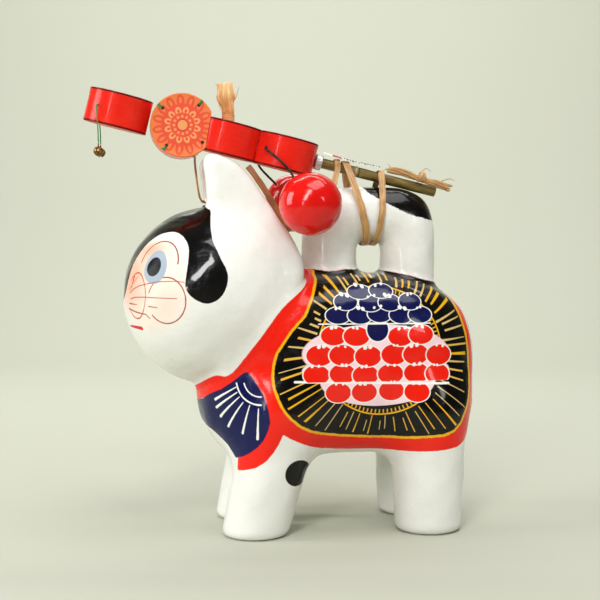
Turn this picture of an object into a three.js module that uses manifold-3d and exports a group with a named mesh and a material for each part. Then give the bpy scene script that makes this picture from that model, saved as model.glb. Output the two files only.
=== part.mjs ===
// Papier-mache toy dog with a four-drum rattle tied over its ears and tail.
// Millimetres, +Z up. The dog faces -X and its left side is -Y.

import * as THREE from "three";
import * as BufferGeometryUtils from "three/addons/utils/BufferGeometryUtils.js";
import Module from "manifold-3d";

// Clearances
const TOUCH_GAP = 0.3; // between pieces that touch
const BORE_GAP = 0.3; // round a rod in its bore
const REST_GAP = 0.1; // from the stick to the tail under it, before its facets
const FACET_GAP = 0.9; // more room for a strip round the faceted tail

// Dog: head
const HEAD_DIAMETER = 105;
const HEAD_WIDTH = 101;
const HEAD_HEIGHT = 190.5; // crown above the ground
const HEAD_FRONT_X = -105;

// Dog: body
const BODY_LENGTH = 166;
const BODY_WIDTH = 92;
const BACK_HEIGHT = 152; // back above the ground
const BELLY_HEIGHT = 44;
const RUMP_X = 104;
const BODY_POWER = 2.8; // 2 is an ellipsoid, more is boxier
const CHEST_DIAMETER = 64;
const CHEST_X = -24;
const CHEST_Z = 71;

// Dog: legs, each leaning from its foot to its top
const FOOT_DIAMETER = 39;
const LEG_TOP_DIAMETER = 45;
const LEG_TRACK = 50; // between left and right foot centres
const FRONT_FOOT_X = -30;
const HIND_FOOT_X = 73;
const FRONT_LEG_LEAN = 16; // top behind the foot
const LEG_ROOT_HEIGHT = 70;
const FOOT_EDGE_RADIUS = 5;

// Dog: ears, tall flat leaves with an upright front edge and a sloping rear edge
const EAR_HEIGHT = 220.4; // middle of the top above the ground
const EAR_TOP_WIDTH = 23;
const EAR_ROOT_WIDTH = 58;
const EAR_FRONT_X = -60.5;
const EAR_LEAN = 8; // front edge moves back from top to root
const EAR_THICKNESS = 11;
const EAR_SPREAD_TOP = 35; // between the middles of both ear tops
const EAR_SPREAD_ROOT = 60;
const EAR_ROOT_HEIGHT = 152;
const EAR_CORNER_RADIUS = 5;
const EAR_CUP_DEPTH = 3;

// Dog: tail, a thick squarish arch along the back
const TAIL_SPAN = 81;
const TAIL_THICKNESS = 33;
const TAIL_HEIGHT = 203; // top above the ground
const TAIL_MIDDLE_X = 41.5;
const TAIL_POWER = 3.5;

// How softly the forms run together
const LEG_BLEND = 16;
const NECK_BLEND = 5;
const EAR_BLEND = 10;
const TAIL_BLEND = 6;
const DOG_CELL = 10.2; // size of one facet
const DOG_Y_CELL = 7.2; // the same across the dog
const DOG_FINE_CELL = 6.6; // the same on the ears and round the tail's hole

// Rattle
const DRUM_DIAMETER = 37.2;
const DRUM_DEPTH = 19.8; // over both heads
const HEAD_SKIN = 0.6; // thickness of a paper head
const DRUM_NEST = 9; // how far the third drum is let into the second
const FLAT_NEST = 2.5; // how far the last two are let into each other
const SECOND_DRUM_SHIFT = 4; // the second drum stands out to the dog's left
const DRUM_ROLL = THREE.MathUtils.degToRad(3.5); // tops toward the dog's left
const DRUM_SIDES = 24;
const THIRD_DRUM_X = -43; // the drum that lies on the ears
const STICK_DIAMETER = 6.2;
const STICK_IN_DRUM = 9; // how far the stick goes into the last drum
const STICK_PAST_TAIL = 42.3; // from above the tail's middle to the stick's end
const NODE_RING_SHARE = 0.3; // where along the bamboo its joint is
const NODE_RING_HEIGHT = 0.5;
const COLLAR_DIAMETER = 9.4;
const COLLAR_LENGTH = 4;

// Balls and their cords
const BALL_DIAMETER = 36.4;
const BALL_X = 1; // behind the ears
const BALL_LIFT_FAR = 3; // the far ball hangs a little higher
const BALL_SIDE_GAP = 1; // ball to the tail's side
const CORD_DIAMETER = 1.4;
const CORD_HOLE_DEPTH = 3;

// Bells and their threads
const BELL_DIAMETER = 5.9;
const BELL_WALL = 0.45;
const BELL_SLIT = 0.8;
const BELL_RING_RADIUS = 0.9;
const BELL_RING_WIRE = 0.32;
const THREAD_DIAMETER = 0.7;
const THREAD_DROP = 21.5; // from the hole to the bell's ring
const THREAD_IN_DRUM = 8.5; // tied off inside the drum
const THREAD_HOLE_ANGLE = 52; // hole on the drum's side, from its front end

// Raffia and paper
const RAFFIA_THICKNESS = 0.8;
const TIE_END_X = 22.3; // where the loose end of the tail tie crosses the stick
const WRAP_GAP = 1.1; // from what a strip wraps to the strip's middle
const STICK_SPARE = 0.2; // more room for a strip round the stick
const BOW_HEIGHT = 21.5;
const BOW_WIDTH = 11.4;
const BOW_NECK_WIDTH = 6.5;
const SLIP_LENGTH = 36;
const SLIP_WIDTH = 6;
const SLIP_THICKNESS = 0.5;

// Places worked out from the sizes above
const HEAD = {
  x: HEAD_FRONT_X + HEAD_DIAMETER / 2,
  z: HEAD_HEIGHT - HEAD_DIAMETER / 2,
};
const BODY = {
  x: RUMP_X - BODY_LENGTH / 2,
  z: (BACK_HEIGHT + BELLY_HEIGHT) / 2,
};
const TAIL = {
  half: TAIL_SPAN / 2,
  z: TAIL_HEIGHT - TAIL_SPAN / 2,
};
const EAR_MIDDLE_X = EAR_FRONT_X + EAR_TOP_WIDTH / 2;

// The rattle's axis runs from above the ears, where the third drum lies on them,
// down to the shoulder of the tail, where the stick lies on it.
const DRUM_RADIUS = DRUM_DIAMETER / 2;
const STICK_RADIUS = STICK_DIAMETER / 2;
const OVER_EARS = DRUM_DEPTH / 2 + DRUM_RADIUS * Math.sin(DRUM_ROLL) + TOUCH_GAP;
const OVER_TAIL = STICK_RADIUS + REST_GAP;

// Where a line of this slope touches the tail's arch
function restOnTail(slope) {
  const steep = Math.abs(Math.tan(slope)) ** (1 / (TAIL_POWER - 1));
  const up = TAIL.half / (1 + steep ** TAIL_POWER) ** (1 / TAIL_POWER);
  return { x: TAIL_MIDDLE_X + Math.sign(slope) * steep * up, z: TAIL.z + up };
}

function slopeOfRattle() {
  let slope = 0;
  for (let turn = 0; turn < 12; turn++) {
    const rest = restOnTail(slope);
    const front = EAR_HEIGHT + OVER_EARS / Math.cos(slope);
    const back = rest.z + OVER_TAIL / Math.cos(slope);
    slope = Math.atan((front - back) / (rest.x - EAR_MIDDLE_X));
  }
  return slope;
}

const SLOPE = slopeOfRattle();

function axisHeight(x) {
  const front = EAR_HEIGHT + OVER_EARS / Math.cos(SLOPE);
  return front - (x - EAR_MIDDLE_X) * Math.tan(SLOPE);
}

// Moving a point onto a field's surface
const PROBE = 0.01;
const LONGEST_MOVE = 2;

const wasm = await Module();
wasm.setup();

// Solids: from three.js geometry to a manifold and back

function toManifold(geometry) {
  const plain = geometry.clone();
  plain.deleteAttribute("normal");
  plain.deleteAttribute("uv");
  const merged = BufferGeometryUtils.mergeVertices(plain, 1e-4);
  const vertProperties = new Float32Array(merged.attributes.position.array);
  const triVerts = new Uint32Array(merged.index.array);
  return new wasm.Manifold(new wasm.Mesh({ numProp: 3, vertProperties, triVerts }));
}

function toGeometry(manifold) {
  const mesh = manifold.getMesh();
  const geometry = new THREE.BufferGeometry();
  geometry.setAttribute("position", new THREE.BufferAttribute(mesh.vertProperties, 3));
  geometry.setIndex(new THREE.BufferAttribute(mesh.triVerts, 1));
  geometry.computeVertexNormals();
  return geometry;
}

function cut(geometry, ...tools) {
  let solid = toManifold(geometry);
  for (const tool of tools) solid = solid.subtract(toManifold(tool));
  return toGeometry(solid);
}

// A closed skin over rings of points. Without a loop, both ends are capped.
function skin(rings, loop = false) {
  const count = rings[0].length;
  const positions = rings.flat().flatMap((p) => [p.x, p.y, p.z]);
  const index = [];
  const bands = loop ? rings.length : rings.length - 1;
  for (let i = 0; i < bands; i++) {
    const a = i * count;
    const b = ((i + 1) % rings.length) * count;
    for (let j = 0; j < count; j++) {
      const k = (j + 1) % count;
      index.push(a + j, a + k, b + k, a + j, b + k, b + j);
    }
  }
  if (!loop) {
    const last = (rings.length - 1) * count;
    for (let j = 1; j < count - 1; j++) {
      index.push(0, j + 1, j);
      index.push(last, last + j, last + j + 1);
    }
  }
  const geometry = new THREE.BufferGeometry();
  geometry.setAttribute("position", new THREE.Float32BufferAttribute(positions, 3));
  geometry.setIndex(index);
  geometry.computeVertexNormals();
  return geometry;
}

// A flat strip along a smooth path. Each station is [place, the way its flat side
// looks, width], and there are a few cross-sections from each station to the next.
function strip(stations, { thickness = RAFFIA_THICKNESS, loop = false, fineness = 2 } = {}) {
  const path = new THREE.CatmullRomCurve3(stations.map(([place]) => place), loop);
  const looks = new THREE.CatmullRomCurve3(stations.map(([, look]) => look), loop);
  const spans = loop ? stations.length : stations.length - 1;
  const count = spans * fineness + (loop ? 0 : 1);
  const rings = [];
  for (let i = 0; i < count; i++) {
    const t = i / (spans * fineness);
    const middle = path.getPoint(t);
    const along = path.getTangent(t);
    const flat = looks.getPoint(t);
    flat.addScaledVector(along, -flat.dot(along)).normalize();
    const across = new THREE.Vector3().crossVectors(flat, along).normalize();
    const span = Math.min(Math.floor(t * spans), spans - 1);
    const share = t * spans - span;
    const from = stations[span][2];
    const to = stations[(span + 1) % stations.length][2];
    const w = (from + (to - from) * share) / 2;
    const t2 = thickness / 2;
    const corner = (a, b) => middle.clone().addScaledVector(across, a).addScaledVector(flat, b);
    rings.push([corner(w, t2), corner(-w, t2), corner(-w, -t2), corner(w, -t2)]);
  }
  return skin(rings, loop);
}

// A round body whose middle and radius change along its length
function taper(stations, sides = 10) {
  const middles = stations.map(([middle]) => middle);
  const rings = stations.map(([middle, radius], i) => {
    const before = middles[Math.max(i - 1, 0)];
    const after = middles[Math.min(i + 1, middles.length - 1)];
    const along = after.clone().sub(before).normalize();
    const side = new THREE.Vector3(0, 1, 0).cross(along).normalize();
    const up = new THREE.Vector3().crossVectors(along, side);
    return Array.from({ length: sides }, (_, j) => {
      const angle = (2 * Math.PI * j) / sides;
      return middle
        .clone()
        .addScaledVector(side, radius * Math.cos(angle))
        .addScaledVector(up, radius * Math.sin(angle));
    });
  });
  return skin(rings);
}

// A round cord along a smooth path
function tube(points, radius, steps, sides = 8) {
  const path = new THREE.CatmullRomCurve3(points, false, "centripetal");
  const section = new THREE.Shape().absarc(0, 0, radius, 0, 2 * Math.PI);
  const geometry = new THREE.ExtrudeGeometry(section, {
    steps,
    extrudePath: path,
    curveSegments: sides / 2,
    bevelEnabled: false,
  });
  return geometry;
}

// Fields: below zero inside, above zero outside, about a distance in millimetres

function softMin(a, b, blend) {
  const h = Math.max(blend - Math.abs(a - b), 0) / blend;
  return Math.min(a, b) - (h * h * blend) / 4;
}

function softMax(a, b, blend) {
  return -softMin(-a, -b, blend);
}

function roundBlock(x, y, z, a, b, c, power) {
  const u = Math.abs(x) / a;
  const v = Math.abs(y) / b;
  const w = Math.abs(z) / c;
  const size = Math.max(u ** power + v ** power + w ** power, 1e-6) ** (1 / power);
  const slope =
    Math.hypot(u ** (power - 1) / a, v ** (power - 1) / b, w ** (power - 1) / c) *
    size ** (1 - power);
  return (size - 1) / slope;
}

function legField(x, y, z, footX, topX) {
  const fromTop = THREE.MathUtils.clamp(z / LEG_ROOT_HEIGHT, -0.3, 1);
  const middleX = footX + (topX - footX) * fromTop;
  const radius =
    FOOT_DIAMETER / 2 + ((LEG_TOP_DIAMETER - FOOT_DIAMETER) / 2) * Math.max(fromTop, 0);
  const above = Math.max(z - LEG_ROOT_HEIGHT, 0);
  return Math.hypot(x - middleX, y - LEG_TRACK / 2, above) - radius;
}

// Distance to a convex outline in the XZ plane, its corners in turn
function outlineField(x, z, corners) {
  let inside = -Infinity;
  for (let i = 0; i < corners.length; i++) {
    const [ax, az] = corners[i];
    const [bx, bz] = corners[(i + 1) % corners.length];
    const length = Math.hypot(bx - ax, bz - az);
    const side = ((z - az) * (bx - ax) - (x - ax) * (bz - az)) / length;
    inside = inside === -Infinity ? side : softMax(inside, side, EAR_CORNER_RADIUS * 2);
  }
  return inside;
}

const EAR_TOP_DROP = (Math.tan(SLOPE) * EAR_TOP_WIDTH) / 2;
const EAR_OUTLINE = [
  [EAR_FRONT_X, EAR_HEIGHT + EAR_TOP_DROP],
  [EAR_FRONT_X + EAR_TOP_WIDTH, EAR_HEIGHT - EAR_TOP_DROP],
  [EAR_FRONT_X + EAR_LEAN + EAR_ROOT_WIDTH, EAR_ROOT_HEIGHT],
  [EAR_FRONT_X + EAR_LEAN, EAR_ROOT_HEIGHT],
];

function earField(x, y, z) {
  const down = THREE.MathUtils.clamp(
    (EAR_HEIGHT - z) / (EAR_HEIGHT - EAR_ROOT_HEIGHT),
    0,
    1,
  );
  const middleY = (EAR_SPREAD_TOP + (EAR_SPREAD_ROOT - EAR_SPREAD_TOP) * down ** 1.6) / 2;
  const outline = outlineField(x, z, EAR_OUTLINE);
  // the hollow of the ear opens toward the middle
  const cup = EAR_CUP_DEPTH * Math.max(0, 1 - Math.max(outline + 14, 0) / 12);
  const inner = middleY - EAR_THICKNESS / 2 + cup - y;
  const outer = y - middleY - EAR_THICKNESS / 2;
  return softMax(outline, softMax(inner, outer, EAR_THICKNESS / 3), EAR_THICKNESS * 0.7);
}

function tailField(x, y, z) {
  const up = Math.max(z - TAIL.z, 0);
  const across = Math.abs(x - TAIL_MIDDLE_X);
  const ring = (across ** TAIL_POWER + up ** TAIL_POWER) ** (1 / TAIL_POWER);
  const middle = TAIL.half - TAIL_THICKNESS / 2;
  const arch = Math.hypot(ring - middle, y) - TAIL_THICKNESS / 2;
  return Math.max(arch, BODY.z - z);
}

function dogField(x, y, z) {
  const side = Math.abs(y);
  const body = roundBlock(
    x - BODY.x,
    y,
    z - BODY.z,
    BODY_LENGTH / 2,
    BODY_WIDTH / 2,
    (BACK_HEIGHT - BELLY_HEIGHT) / 2,
    BODY_POWER,
  );
  const headRadius = HEAD_DIAMETER / 2;
  const head = roundBlock(x - HEAD.x, y, z - HEAD.z, headRadius, HEAD_WIDTH / 2, headRadius, 2);
  const frontLeg = legField(x, side, z, FRONT_FOOT_X, FRONT_FOOT_X + FRONT_LEG_LEAN);
  const hindLeg = legField(x, side, z, HIND_FOOT_X, HIND_FOOT_X);
  const chestRadius = CHEST_DIAMETER / 2;
  const chest = Math.hypot(x - CHEST_X, y, z - CHEST_Z) - chestRadius;
  const barrel = softMin(body, chest, LEG_BLEND);
  const trunk = softMin(softMin(barrel, frontLeg, LEG_BLEND), hindLeg, LEG_BLEND);
  const headAndEars = softMin(head, earField(x, side, z), EAR_BLEND);
  const whole = softMin(softMin(trunk, headAndEars, NECK_BLEND), tailField(x, y, z), TAIL_BLEND);
  return softMax(whole, -z, FOOT_EDGE_RADIUS);
}

// Places of grid planes from low to high, cellAt(place) apart
function planes(low, high, cellAt) {
  const places = [low];
  while (places.at(-1) < high) places.push(places.at(-1) + cellAt(places.at(-1)));
  return places;
}

// A grid cell's corners, numbered by their bits, its faces as four corners in turn,
// and the number of the edge between two corners
const CELL_CORNERS = [0, 1, 2, 3, 4, 5, 6, 7].map((c) => [c & 1, (c >> 1) & 1, c >> 2]);
const CELL_FACES = [0, 1, 2].flatMap((axis) =>
  [0, 1].map((side) => {
    const u = (axis + 1) % 3;
    const v = (axis + 2) % 3;
    const turn = [
      [0, 0],
      [1, 0],
      [1, 1],
      [0, 1],
    ];
    return turn.map(([du, dv]) => (side << axis) | (du << u) | (dv << v));
  }),
);
const edgeOf = (a, b) => (a & b) * 8 + (a ^ b);

// The crossed edges of a cell, in one set for each sheet of surface through it
function sheetsOfCell(inside) {
  const sheetOf = new Map();
  const link = (a, b) => {
    const joined = new Set([...(sheetOf.get(a) ?? [a]), ...(sheetOf.get(b) ?? [b])]);
    for (const edge of joined) sheetOf.set(edge, joined);
  };
  for (const face of CELL_FACES)
    face.forEach((corner, n) => {
      const before = face[(n + 3) % 4];
      if (!inside[corner] || inside[before]) return;
      let end = n + 1;
      while (inside[face[end % 4]]) end++;
      link(edgeOf(before, corner), edgeOf(face[(end - 1) % 4], face[end % 4]));
    });
  return sheetOf;
}

// The surface where a field is zero: one point for each sheet of it in each grid
// cell, moved onto the surface, and one quad round each grid edge that it crosses.
function surfaceOfField(field, xs, ys, zs) {
  const grid = [xs, ys, zs];
  const [nx, ny, nz] = grid.map((places) => places.length);
  const nodeAt = (i, j, k) => i + nx * (j + ny * k);
  const place = (i, j, k) => [xs[i], ys[j], zs[k]];
  const values = new Float64Array(nx * ny * nz);
  for (let k = 0; k < nz; k++)
    for (let j = 0; j < ny; j++)
      for (let i = 0; i < nx; i++) values[nodeAt(i, j, k)] = field(...place(i, j, k));

  const onto = (start) => {
    let point = start;
    for (let turn = 0; turn < 6; turn++) {
      const here = field(...point);
      const gradient = point.map((value, axis) => {
        const moved = [...point];
        moved[axis] = value + PROBE;
        return (field(...moved) - here) / PROBE;
      });
      const steepness = gradient.reduce((sum, g) => sum + g * g, 0) || 1;
      const move = THREE.MathUtils.clamp(here / steepness, -LONGEST_MOVE, LONGEST_MOVE);
      point = point.map((value, axis) => value - gradient[axis] * move);
    }
    return point;
  };

  // where the surface crosses an edge of a cell
  const crossing = (cell, edge) => {
    const from = CELL_CORNERS[edge >> 3];
    const to = CELL_CORNERS[(edge >> 3) | (edge & 7)];
    const low = cell.map((value, axis) => value + from[axis]);
    const high = cell.map((value, axis) => value + to[axis]);
    const lowValue = values[nodeAt(...low)];
    const share = lowValue / (lowValue - values[nodeAt(...high)]);
    const start = place(...low);
    return place(...high).map((value, axis) => start[axis] + (value - start[axis]) * share);
  };

  const positions = [];
  const pointsOfCells = new Map();
  const pointsOfCell = (cell) => {
    const key = nodeAt(...cell);
    if (pointsOfCells.has(key)) return pointsOfCells.get(key);
    const inside = CELL_CORNERS.map((c) => values[nodeAt(...cell.map((v, n) => v + c[n]))] < 0);
    const pointOfEdge = new Map();
    for (const sheet of new Set(sheetsOfCell(inside).values())) {
      const sum = [0, 0, 0];
      for (const edge of sheet) {
        crossing(cell, edge).forEach((value, n) => (sum[n] += value));
        pointOfEdge.set(edge, positions.length / 3);
      }
      positions.push(...onto(sum.map((value) => value / sheet.size)));
    }
    pointsOfCells.set(key, pointOfEdge);
    return pointOfEdge;
  };

  const around = [
    [1, 1],
    [0, 1],
    [0, 0],
    [1, 0],
  ];
  const index = [];
  const vertex = (n) => new THREE.Vector3().fromArray(positions, n * 3);
  const addQuad = (a, b, c, d) => {
    const shortDiagonal = vertex(a).distanceTo(vertex(c)) < vertex(b).distanceTo(vertex(d));
    if (shortDiagonal) index.push(a, b, c, a, c, d);
    else index.push(a, b, d, b, c, d);
  };
  for (let k = 1; k < nz - 1; k++)
    for (let j = 1; j < ny - 1; j++)
      for (let i = 1; i < nx - 1; i++)
        for (let axis = 0; axis < 3; axis++) {
          const here = [i, j, k];
          const next = [...here];
          next[axis]++;
          const inside = values[nodeAt(...here)] < 0;
          if (inside === values[nodeAt(...next)] < 0) continue;
          const quad = around.map(([du, dv]) => {
            const u = (axis + 1) % 3;
            const v = (axis + 2) % 3;
            const cell = [...here];
            cell[u] -= du;
            cell[v] -= dv;
            const corner = (du << u) | (dv << v);
            return pointsOfCell(cell).get(edgeOf(corner, corner | (1 << axis)));
          });
          addQuad(...(inside ? quad : quad.reverse()));
        }
  const geometry = new THREE.BufferGeometry();
  geometry.setAttribute("position", new THREE.Float32BufferAttribute(positions, 3));
  geometry.setIndex(index);
  geometry.computeVertexNormals();
  return geometry;
}

// Materials

function paint(color, roughness, metalness = 0) {
  return new THREE.MeshStandardMaterial({ color, roughness, metalness });
}

const WHITE_LACQUER = paint("#eeece1", 0.3);
const RED_LACQUER = paint("#e8200c", 0.2);
const RED_PAPER = paint("#ee5a34", 0.5);
const BLACK_CORD = paint("#15100c", 0.7);
const GREEN_THREAD = paint("#2a7a4c", 0.7);
const BRONZE = paint("#9a7553", 0.35, 0.9);
const BAMBOO = paint("#6e5f23", 0.45);
const RAFFIA = paint("#cda15f", 0.7);
const PAPER = paint("#e6e0d2", 0.8);

const object = new THREE.Group();

function add(name, geometry, material, parent = object) {
  const mesh = new THREE.Mesh(geometry, material);
  mesh.name = name;
  parent.add(mesh);
  return mesh;
}

const point = (x, y, z) => new THREE.Vector3(x, y, z);

// Dog

const fineX = (x) => x > EAR_FRONT_X - DOG_CELL && x < TAIL_MIDDLE_X + TAIL_THICKNESS / 2;
const fineZ = (z) => z > BACK_HEIGHT - DOG_CELL;
const dogGeometry = surfaceOfField(
  dogField,
  planes(HEAD_FRONT_X - 2 * DOG_CELL, RUMP_X + 2 * DOG_CELL, (x) =>
    fineX(x) ? DOG_FINE_CELL : DOG_CELL,
  ),
  planes(-HEAD_WIDTH / 2 - 2 * DOG_CELL, HEAD_WIDTH / 2 + 2 * DOG_CELL, () => DOG_Y_CELL),
  planes(-1.6 * DOG_CELL, EAR_HEIGHT + 2 * DOG_CELL, (z) =>
    fineZ(z) ? DOG_FINE_CELL : DOG_CELL,
  ),
);
add("dog", dogGeometry, WHITE_LACQUER);

// Rattle. Inside this group, X runs along its axis from front to back, from the
// middle of the drum that lies on the ears.

const rattle = new THREE.Group();
rattle.position.set(THIRD_DRUM_X, 0, axisHeight(THIRD_DRUM_X));
rattle.rotation.y = SLOPE;
rattle.updateMatrixWorld(true);
object.add(rattle);

const nestedPitch = DRUM_DIAMETER - DRUM_NEST;
const flatPitch = DRUM_DIAMETER - FLAT_NEST;
const DRUMS = [
  { name: "first", x: -nestedPitch - DRUM_DIAMETER - 2 * TOUCH_GAP, upright: true },
  { name: "second", x: -nestedPitch, upright: false },
  { name: "third", x: 0, upright: true },
  { name: "fourth", x: flatPitch, upright: true },
];
const FIRST = DRUMS[0];
const THIRD = DRUMS[2];
const FOURTH = DRUMS[3];

// A slice of a drum's round form, between two heights along its own axis
function drumSlice(drum, radius, from, to) {
  const geometry = new THREE.CylinderGeometry(radius, radius, to - from, DRUM_SIDES);
  geometry.rotateX(Math.PI / 2);
  geometry.translate(0, 0, (from + to) / 2);
  geometry.rotateX(drum.upright ? DRUM_ROLL : Math.PI / 2);
  return geometry.translate(drum.x, drum.upright ? 0 : -SECOND_DRUM_SHIFT, 0);
}

// A rod along the rattle's axis
function rod(from, to, radius, sides = 12) {
  const geometry = new THREE.CylinderGeometry(radius, radius, to - from, sides);
  geometry.rotateZ(Math.PI / 2);
  return geometry.translate((from + to) / 2, 0, 0);
}

// Everything on one side of a plane across the rattle's axis
function halfSpace(x, direction) {
  const reach = 2 * DRUM_DIAMETER;
  return new THREE.BoxGeometry(reach, reach, reach).translate(x + (direction * reach) / 2, 0, 0);
}

// A place on a drum's side: the angle starts at its front end and turns toward the
// dog's left, and the height is along the drum's axis
function onDrum(drum, angle, radius, height) {
  const turn = THREE.MathUtils.degToRad(angle);
  const place = point(-radius * Math.cos(turn), -radius * Math.sin(turn), height);
  return place.applyAxisAngle(point(1, 0, 0), DRUM_ROLL).add(point(drum.x, 0, 0));
}

const stickStart = FOURTH.x + DRUM_RADIUS - STICK_IN_DRUM;
const stickEnd = (TAIL_MIDDLE_X - THIRD_DRUM_X) / Math.cos(SLOPE) + STICK_PAST_TAIL;
const collarStart = FOURTH.x + DRUM_RADIUS + TOUCH_GAP;
const collarEnd = collarStart + COLLAR_LENGTH;

// Ball cords and bell threads: their routes in the rattle's own frame

function ballCentre(side) {
  const lift = side < 0 ? 0 : BALL_LIFT_FAR;
  const y = side * (TAIL_THICKNESS / 2 + BALL_DIAMETER / 2 + BALL_SIDE_GAP);
  const under = (DRUM_DEPTH / 2 + TOUCH_GAP) / Math.cos(SLOPE);
  const z = axisHeight(BALL_X) - under - BALL_DIAMETER / 2 + lift;
  return point(BALL_X, y, z);
}

// [angle on the drum's side, distance out from it, height on the drum]
const NEAR_CORD_ROUTE = [
  [46, -CORD_HOLE_DEPTH, 0.6],
  [46, 0, 0.2],
  [49, 1.6, -0.4],
  [58, 1.7, -1.8],
  [72, 1.3, -4],
  [86, 1.3, -6.6],
  [98, 1.4, -9.4],
];
const FAR_CORD_ROUTE = [
  [-40, -CORD_HOLE_DEPTH, 0.6],
  [-40, 0, 0.2],
  [-42, 2, -0.8],
  [-46, 3.2, -3.4],
  [-52, 3.6, -7.4],
  [-62, 3.8, -11],
];

function routeOnDrum(drum, route) {
  return route.map(([angle, out, height]) => onDrum(drum, angle, DRUM_RADIUS + out, height));
}

function bellThread(side) {
  const angle = side * -THREAD_HOLE_ANGLE;
  const start = onDrum(FIRST, angle, DRUM_RADIUS - THREAD_IN_DRUM, 0);
  const hole = onDrum(FIRST, angle, DRUM_RADIUS, 0);
  const out = rattle.localToWorld(onDrum(FIRST, angle, DRUM_RADIUS + 1, 0));
  const rim = out.clone().add(point(0.3, side * 2, -8.5));
  const below = out.clone().add(point(0.6, side * 2.1, -15));
  const end = out.clone().add(point(0.8, side * 2.1, -THREAD_DROP));
  return [start, hole, ...[out, rim, below, end].map((p) => rattle.worldToLocal(p))];
}

const CORDS = [
  { name: "near_ball_cord", drum: FOURTH, side: -1 },
  { name: "far_ball_cord", drum: FOURTH, side: 1 },
];

for (const cord of CORDS) {
  const route = cord.side < 0 ? NEAR_CORD_ROUTE : FAR_CORD_ROUTE;
  cord.points = routeOnDrum(cord.drum, route);
  const centre = rattle.worldToLocal(ballCentre(cord.side));
  const last = cord.points.at(-1);
  const toBall = last.clone().sub(centre);
  const reach = BALL_DIAMETER / 2 + TOUCH_GAP;
  cord.points.push(centre.clone().addScaledVector(toBall.normalize(), reach));
}

const THREADS = [
  { name: "near_bell_thread", drum: FIRST, side: -1 },
  { name: "far_bell_thread", drum: FIRST, side: 1 },
];

for (const thread of THREADS) thread.points = bellThread(thread.side);

// The hole that a cord comes out of, along the cord's first stretch
function cordHole(points, diameter) {
  const [start, exit] = points;
  const out = exit.clone().sub(start).normalize();
  const from = start.clone().addScaledVector(out, -TOUCH_GAP);
  const to = exit.clone().addScaledVector(out, 3 * diameter);
  const geometry = new THREE.CylinderGeometry(1, 1, 1, 8);
  const radius = diameter / 2 + BORE_GAP;
  geometry.scale(radius, to.distanceTo(from), radius);
  geometry.applyQuaternion(new THREE.Quaternion().setFromUnitVectors(point(0, 1, 0), out));
  const middle = from.clone().add(to).multiplyScalar(0.5);
  return geometry.translate(middle.x, middle.y, middle.z);
}

const shellHalf = DRUM_DEPTH / 2 - HEAD_SKIN - TOUCH_GAP;
const nestHalf = DRUM_DEPTH / 2 + TOUCH_GAP;
const betweenFlats = (THIRD.x + FOURTH.x) / 2;
const DRUM_CUTS = {
  first: THREADS.map((thread) => cordHole(thread.points, THREAD_DIAMETER)),
  second: [drumSlice(THIRD, DRUM_RADIUS + TOUCH_GAP, -nestHalf, nestHalf)],
  third: [halfSpace(betweenFlats - TOUCH_GAP / 2, 1)],
  fourth: [
    halfSpace(betweenFlats + TOUCH_GAP / 2, -1),
    rod(stickStart - TOUCH_GAP, collarEnd, STICK_RADIUS + BORE_GAP),
    ...CORDS.map((cord) => cordHole(cord.points, CORD_DIAMETER)),
  ],
};

for (const drum of DRUMS) {
  const cuts = DRUM_CUTS[drum.name];
  const slices = [
    ["shell", -shellHalf, shellHalf, RED_LACQUER],
    ["upper_head", DRUM_DEPTH / 2 - HEAD_SKIN, DRUM_DEPTH / 2, RED_PAPER],
    ["lower_head", -DRUM_DEPTH / 2, HEAD_SKIN - DRUM_DEPTH / 2, RED_PAPER],
  ];
  for (const [part, from, to, material] of slices) {
    const slice = cut(drumSlice(drum, DRUM_RADIUS, from, to), ...cuts);
    add(drum.name + "_drum_" + part, slice, material, rattle);
  }
}

const collarRing = cut(
  rod(collarStart, collarEnd, COLLAR_DIAMETER / 2, 16),
  rod(collarStart - 1, collarEnd + 1, STICK_RADIUS + BORE_GAP),
);
add("stick_collar", collarRing, PAPER, rattle);

// The bamboo: straight, with one joint ring, and cut off square
function bamboo() {
  const length = stickEnd - stickStart;
  const ringAt = collarEnd - stickStart + NODE_RING_SHARE * (stickEnd - collarEnd);
  const ringHalf = STICK_DIAMETER / 4;
  const profile = [
    [0, 0],
    [STICK_RADIUS, 0],
    [STICK_RADIUS, ringAt - ringHalf],
    [STICK_RADIUS + NODE_RING_HEIGHT, ringAt],
    [STICK_RADIUS, ringAt + ringHalf],
    [STICK_RADIUS, length],
    [0, length],
  ].map(([r, along]) => new THREE.Vector2(r, along));
  const geometry = new THREE.LatheGeometry(profile, 12);
  geometry.rotateZ(-Math.PI / 2);
  return geometry.translate(stickStart, 0, 0);
}

add("bamboo_stick", bamboo(), BAMBOO, rattle);

// Balls

for (const [name, side] of [
  ["near_ball", -1],
  ["far_ball", 1],
]) {
  const ball = add(name, new THREE.IcosahedronGeometry(BALL_DIAMETER / 2, 3), RED_LACQUER);
  ball.position.copy(ballCentre(side));
}

for (const cord of CORDS) {
  add(cord.name, tube(cord.points, CORD_DIAMETER / 2, 16), BLACK_CORD, rattle);
}

for (const thread of THREADS) {
  add(thread.name, tube(thread.points, THREAD_DIAMETER / 2, 12), GREEN_THREAD, rattle);
}

// Bells: hollow balls with a slit below and a wire ring on top

function bell() {
  const radius = BELL_DIAMETER / 2;
  const slit = new THREE.BoxGeometry(BELL_SLIT, BELL_DIAMETER * 0.8, radius * 1.1);
  slit.translate(0, 0, -radius * 0.75);
  const ring = new THREE.TorusGeometry(BELL_RING_RADIUS, BELL_RING_WIRE, 5, 8);
  ring.rotateX(Math.PI / 2);
  ring.translate(0, 0, radius + BELL_RING_RADIUS - BELL_RING_WIRE / 2);
  const skinOfBell = toManifold(new THREE.IcosahedronGeometry(radius, 1));
  const inside = toManifold(new THREE.IcosahedronGeometry(radius - BELL_WALL));
  const body = skinOfBell.subtract(inside).subtract(toManifold(slit));
  return toGeometry(body.add(toManifold(ring)));
}

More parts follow.
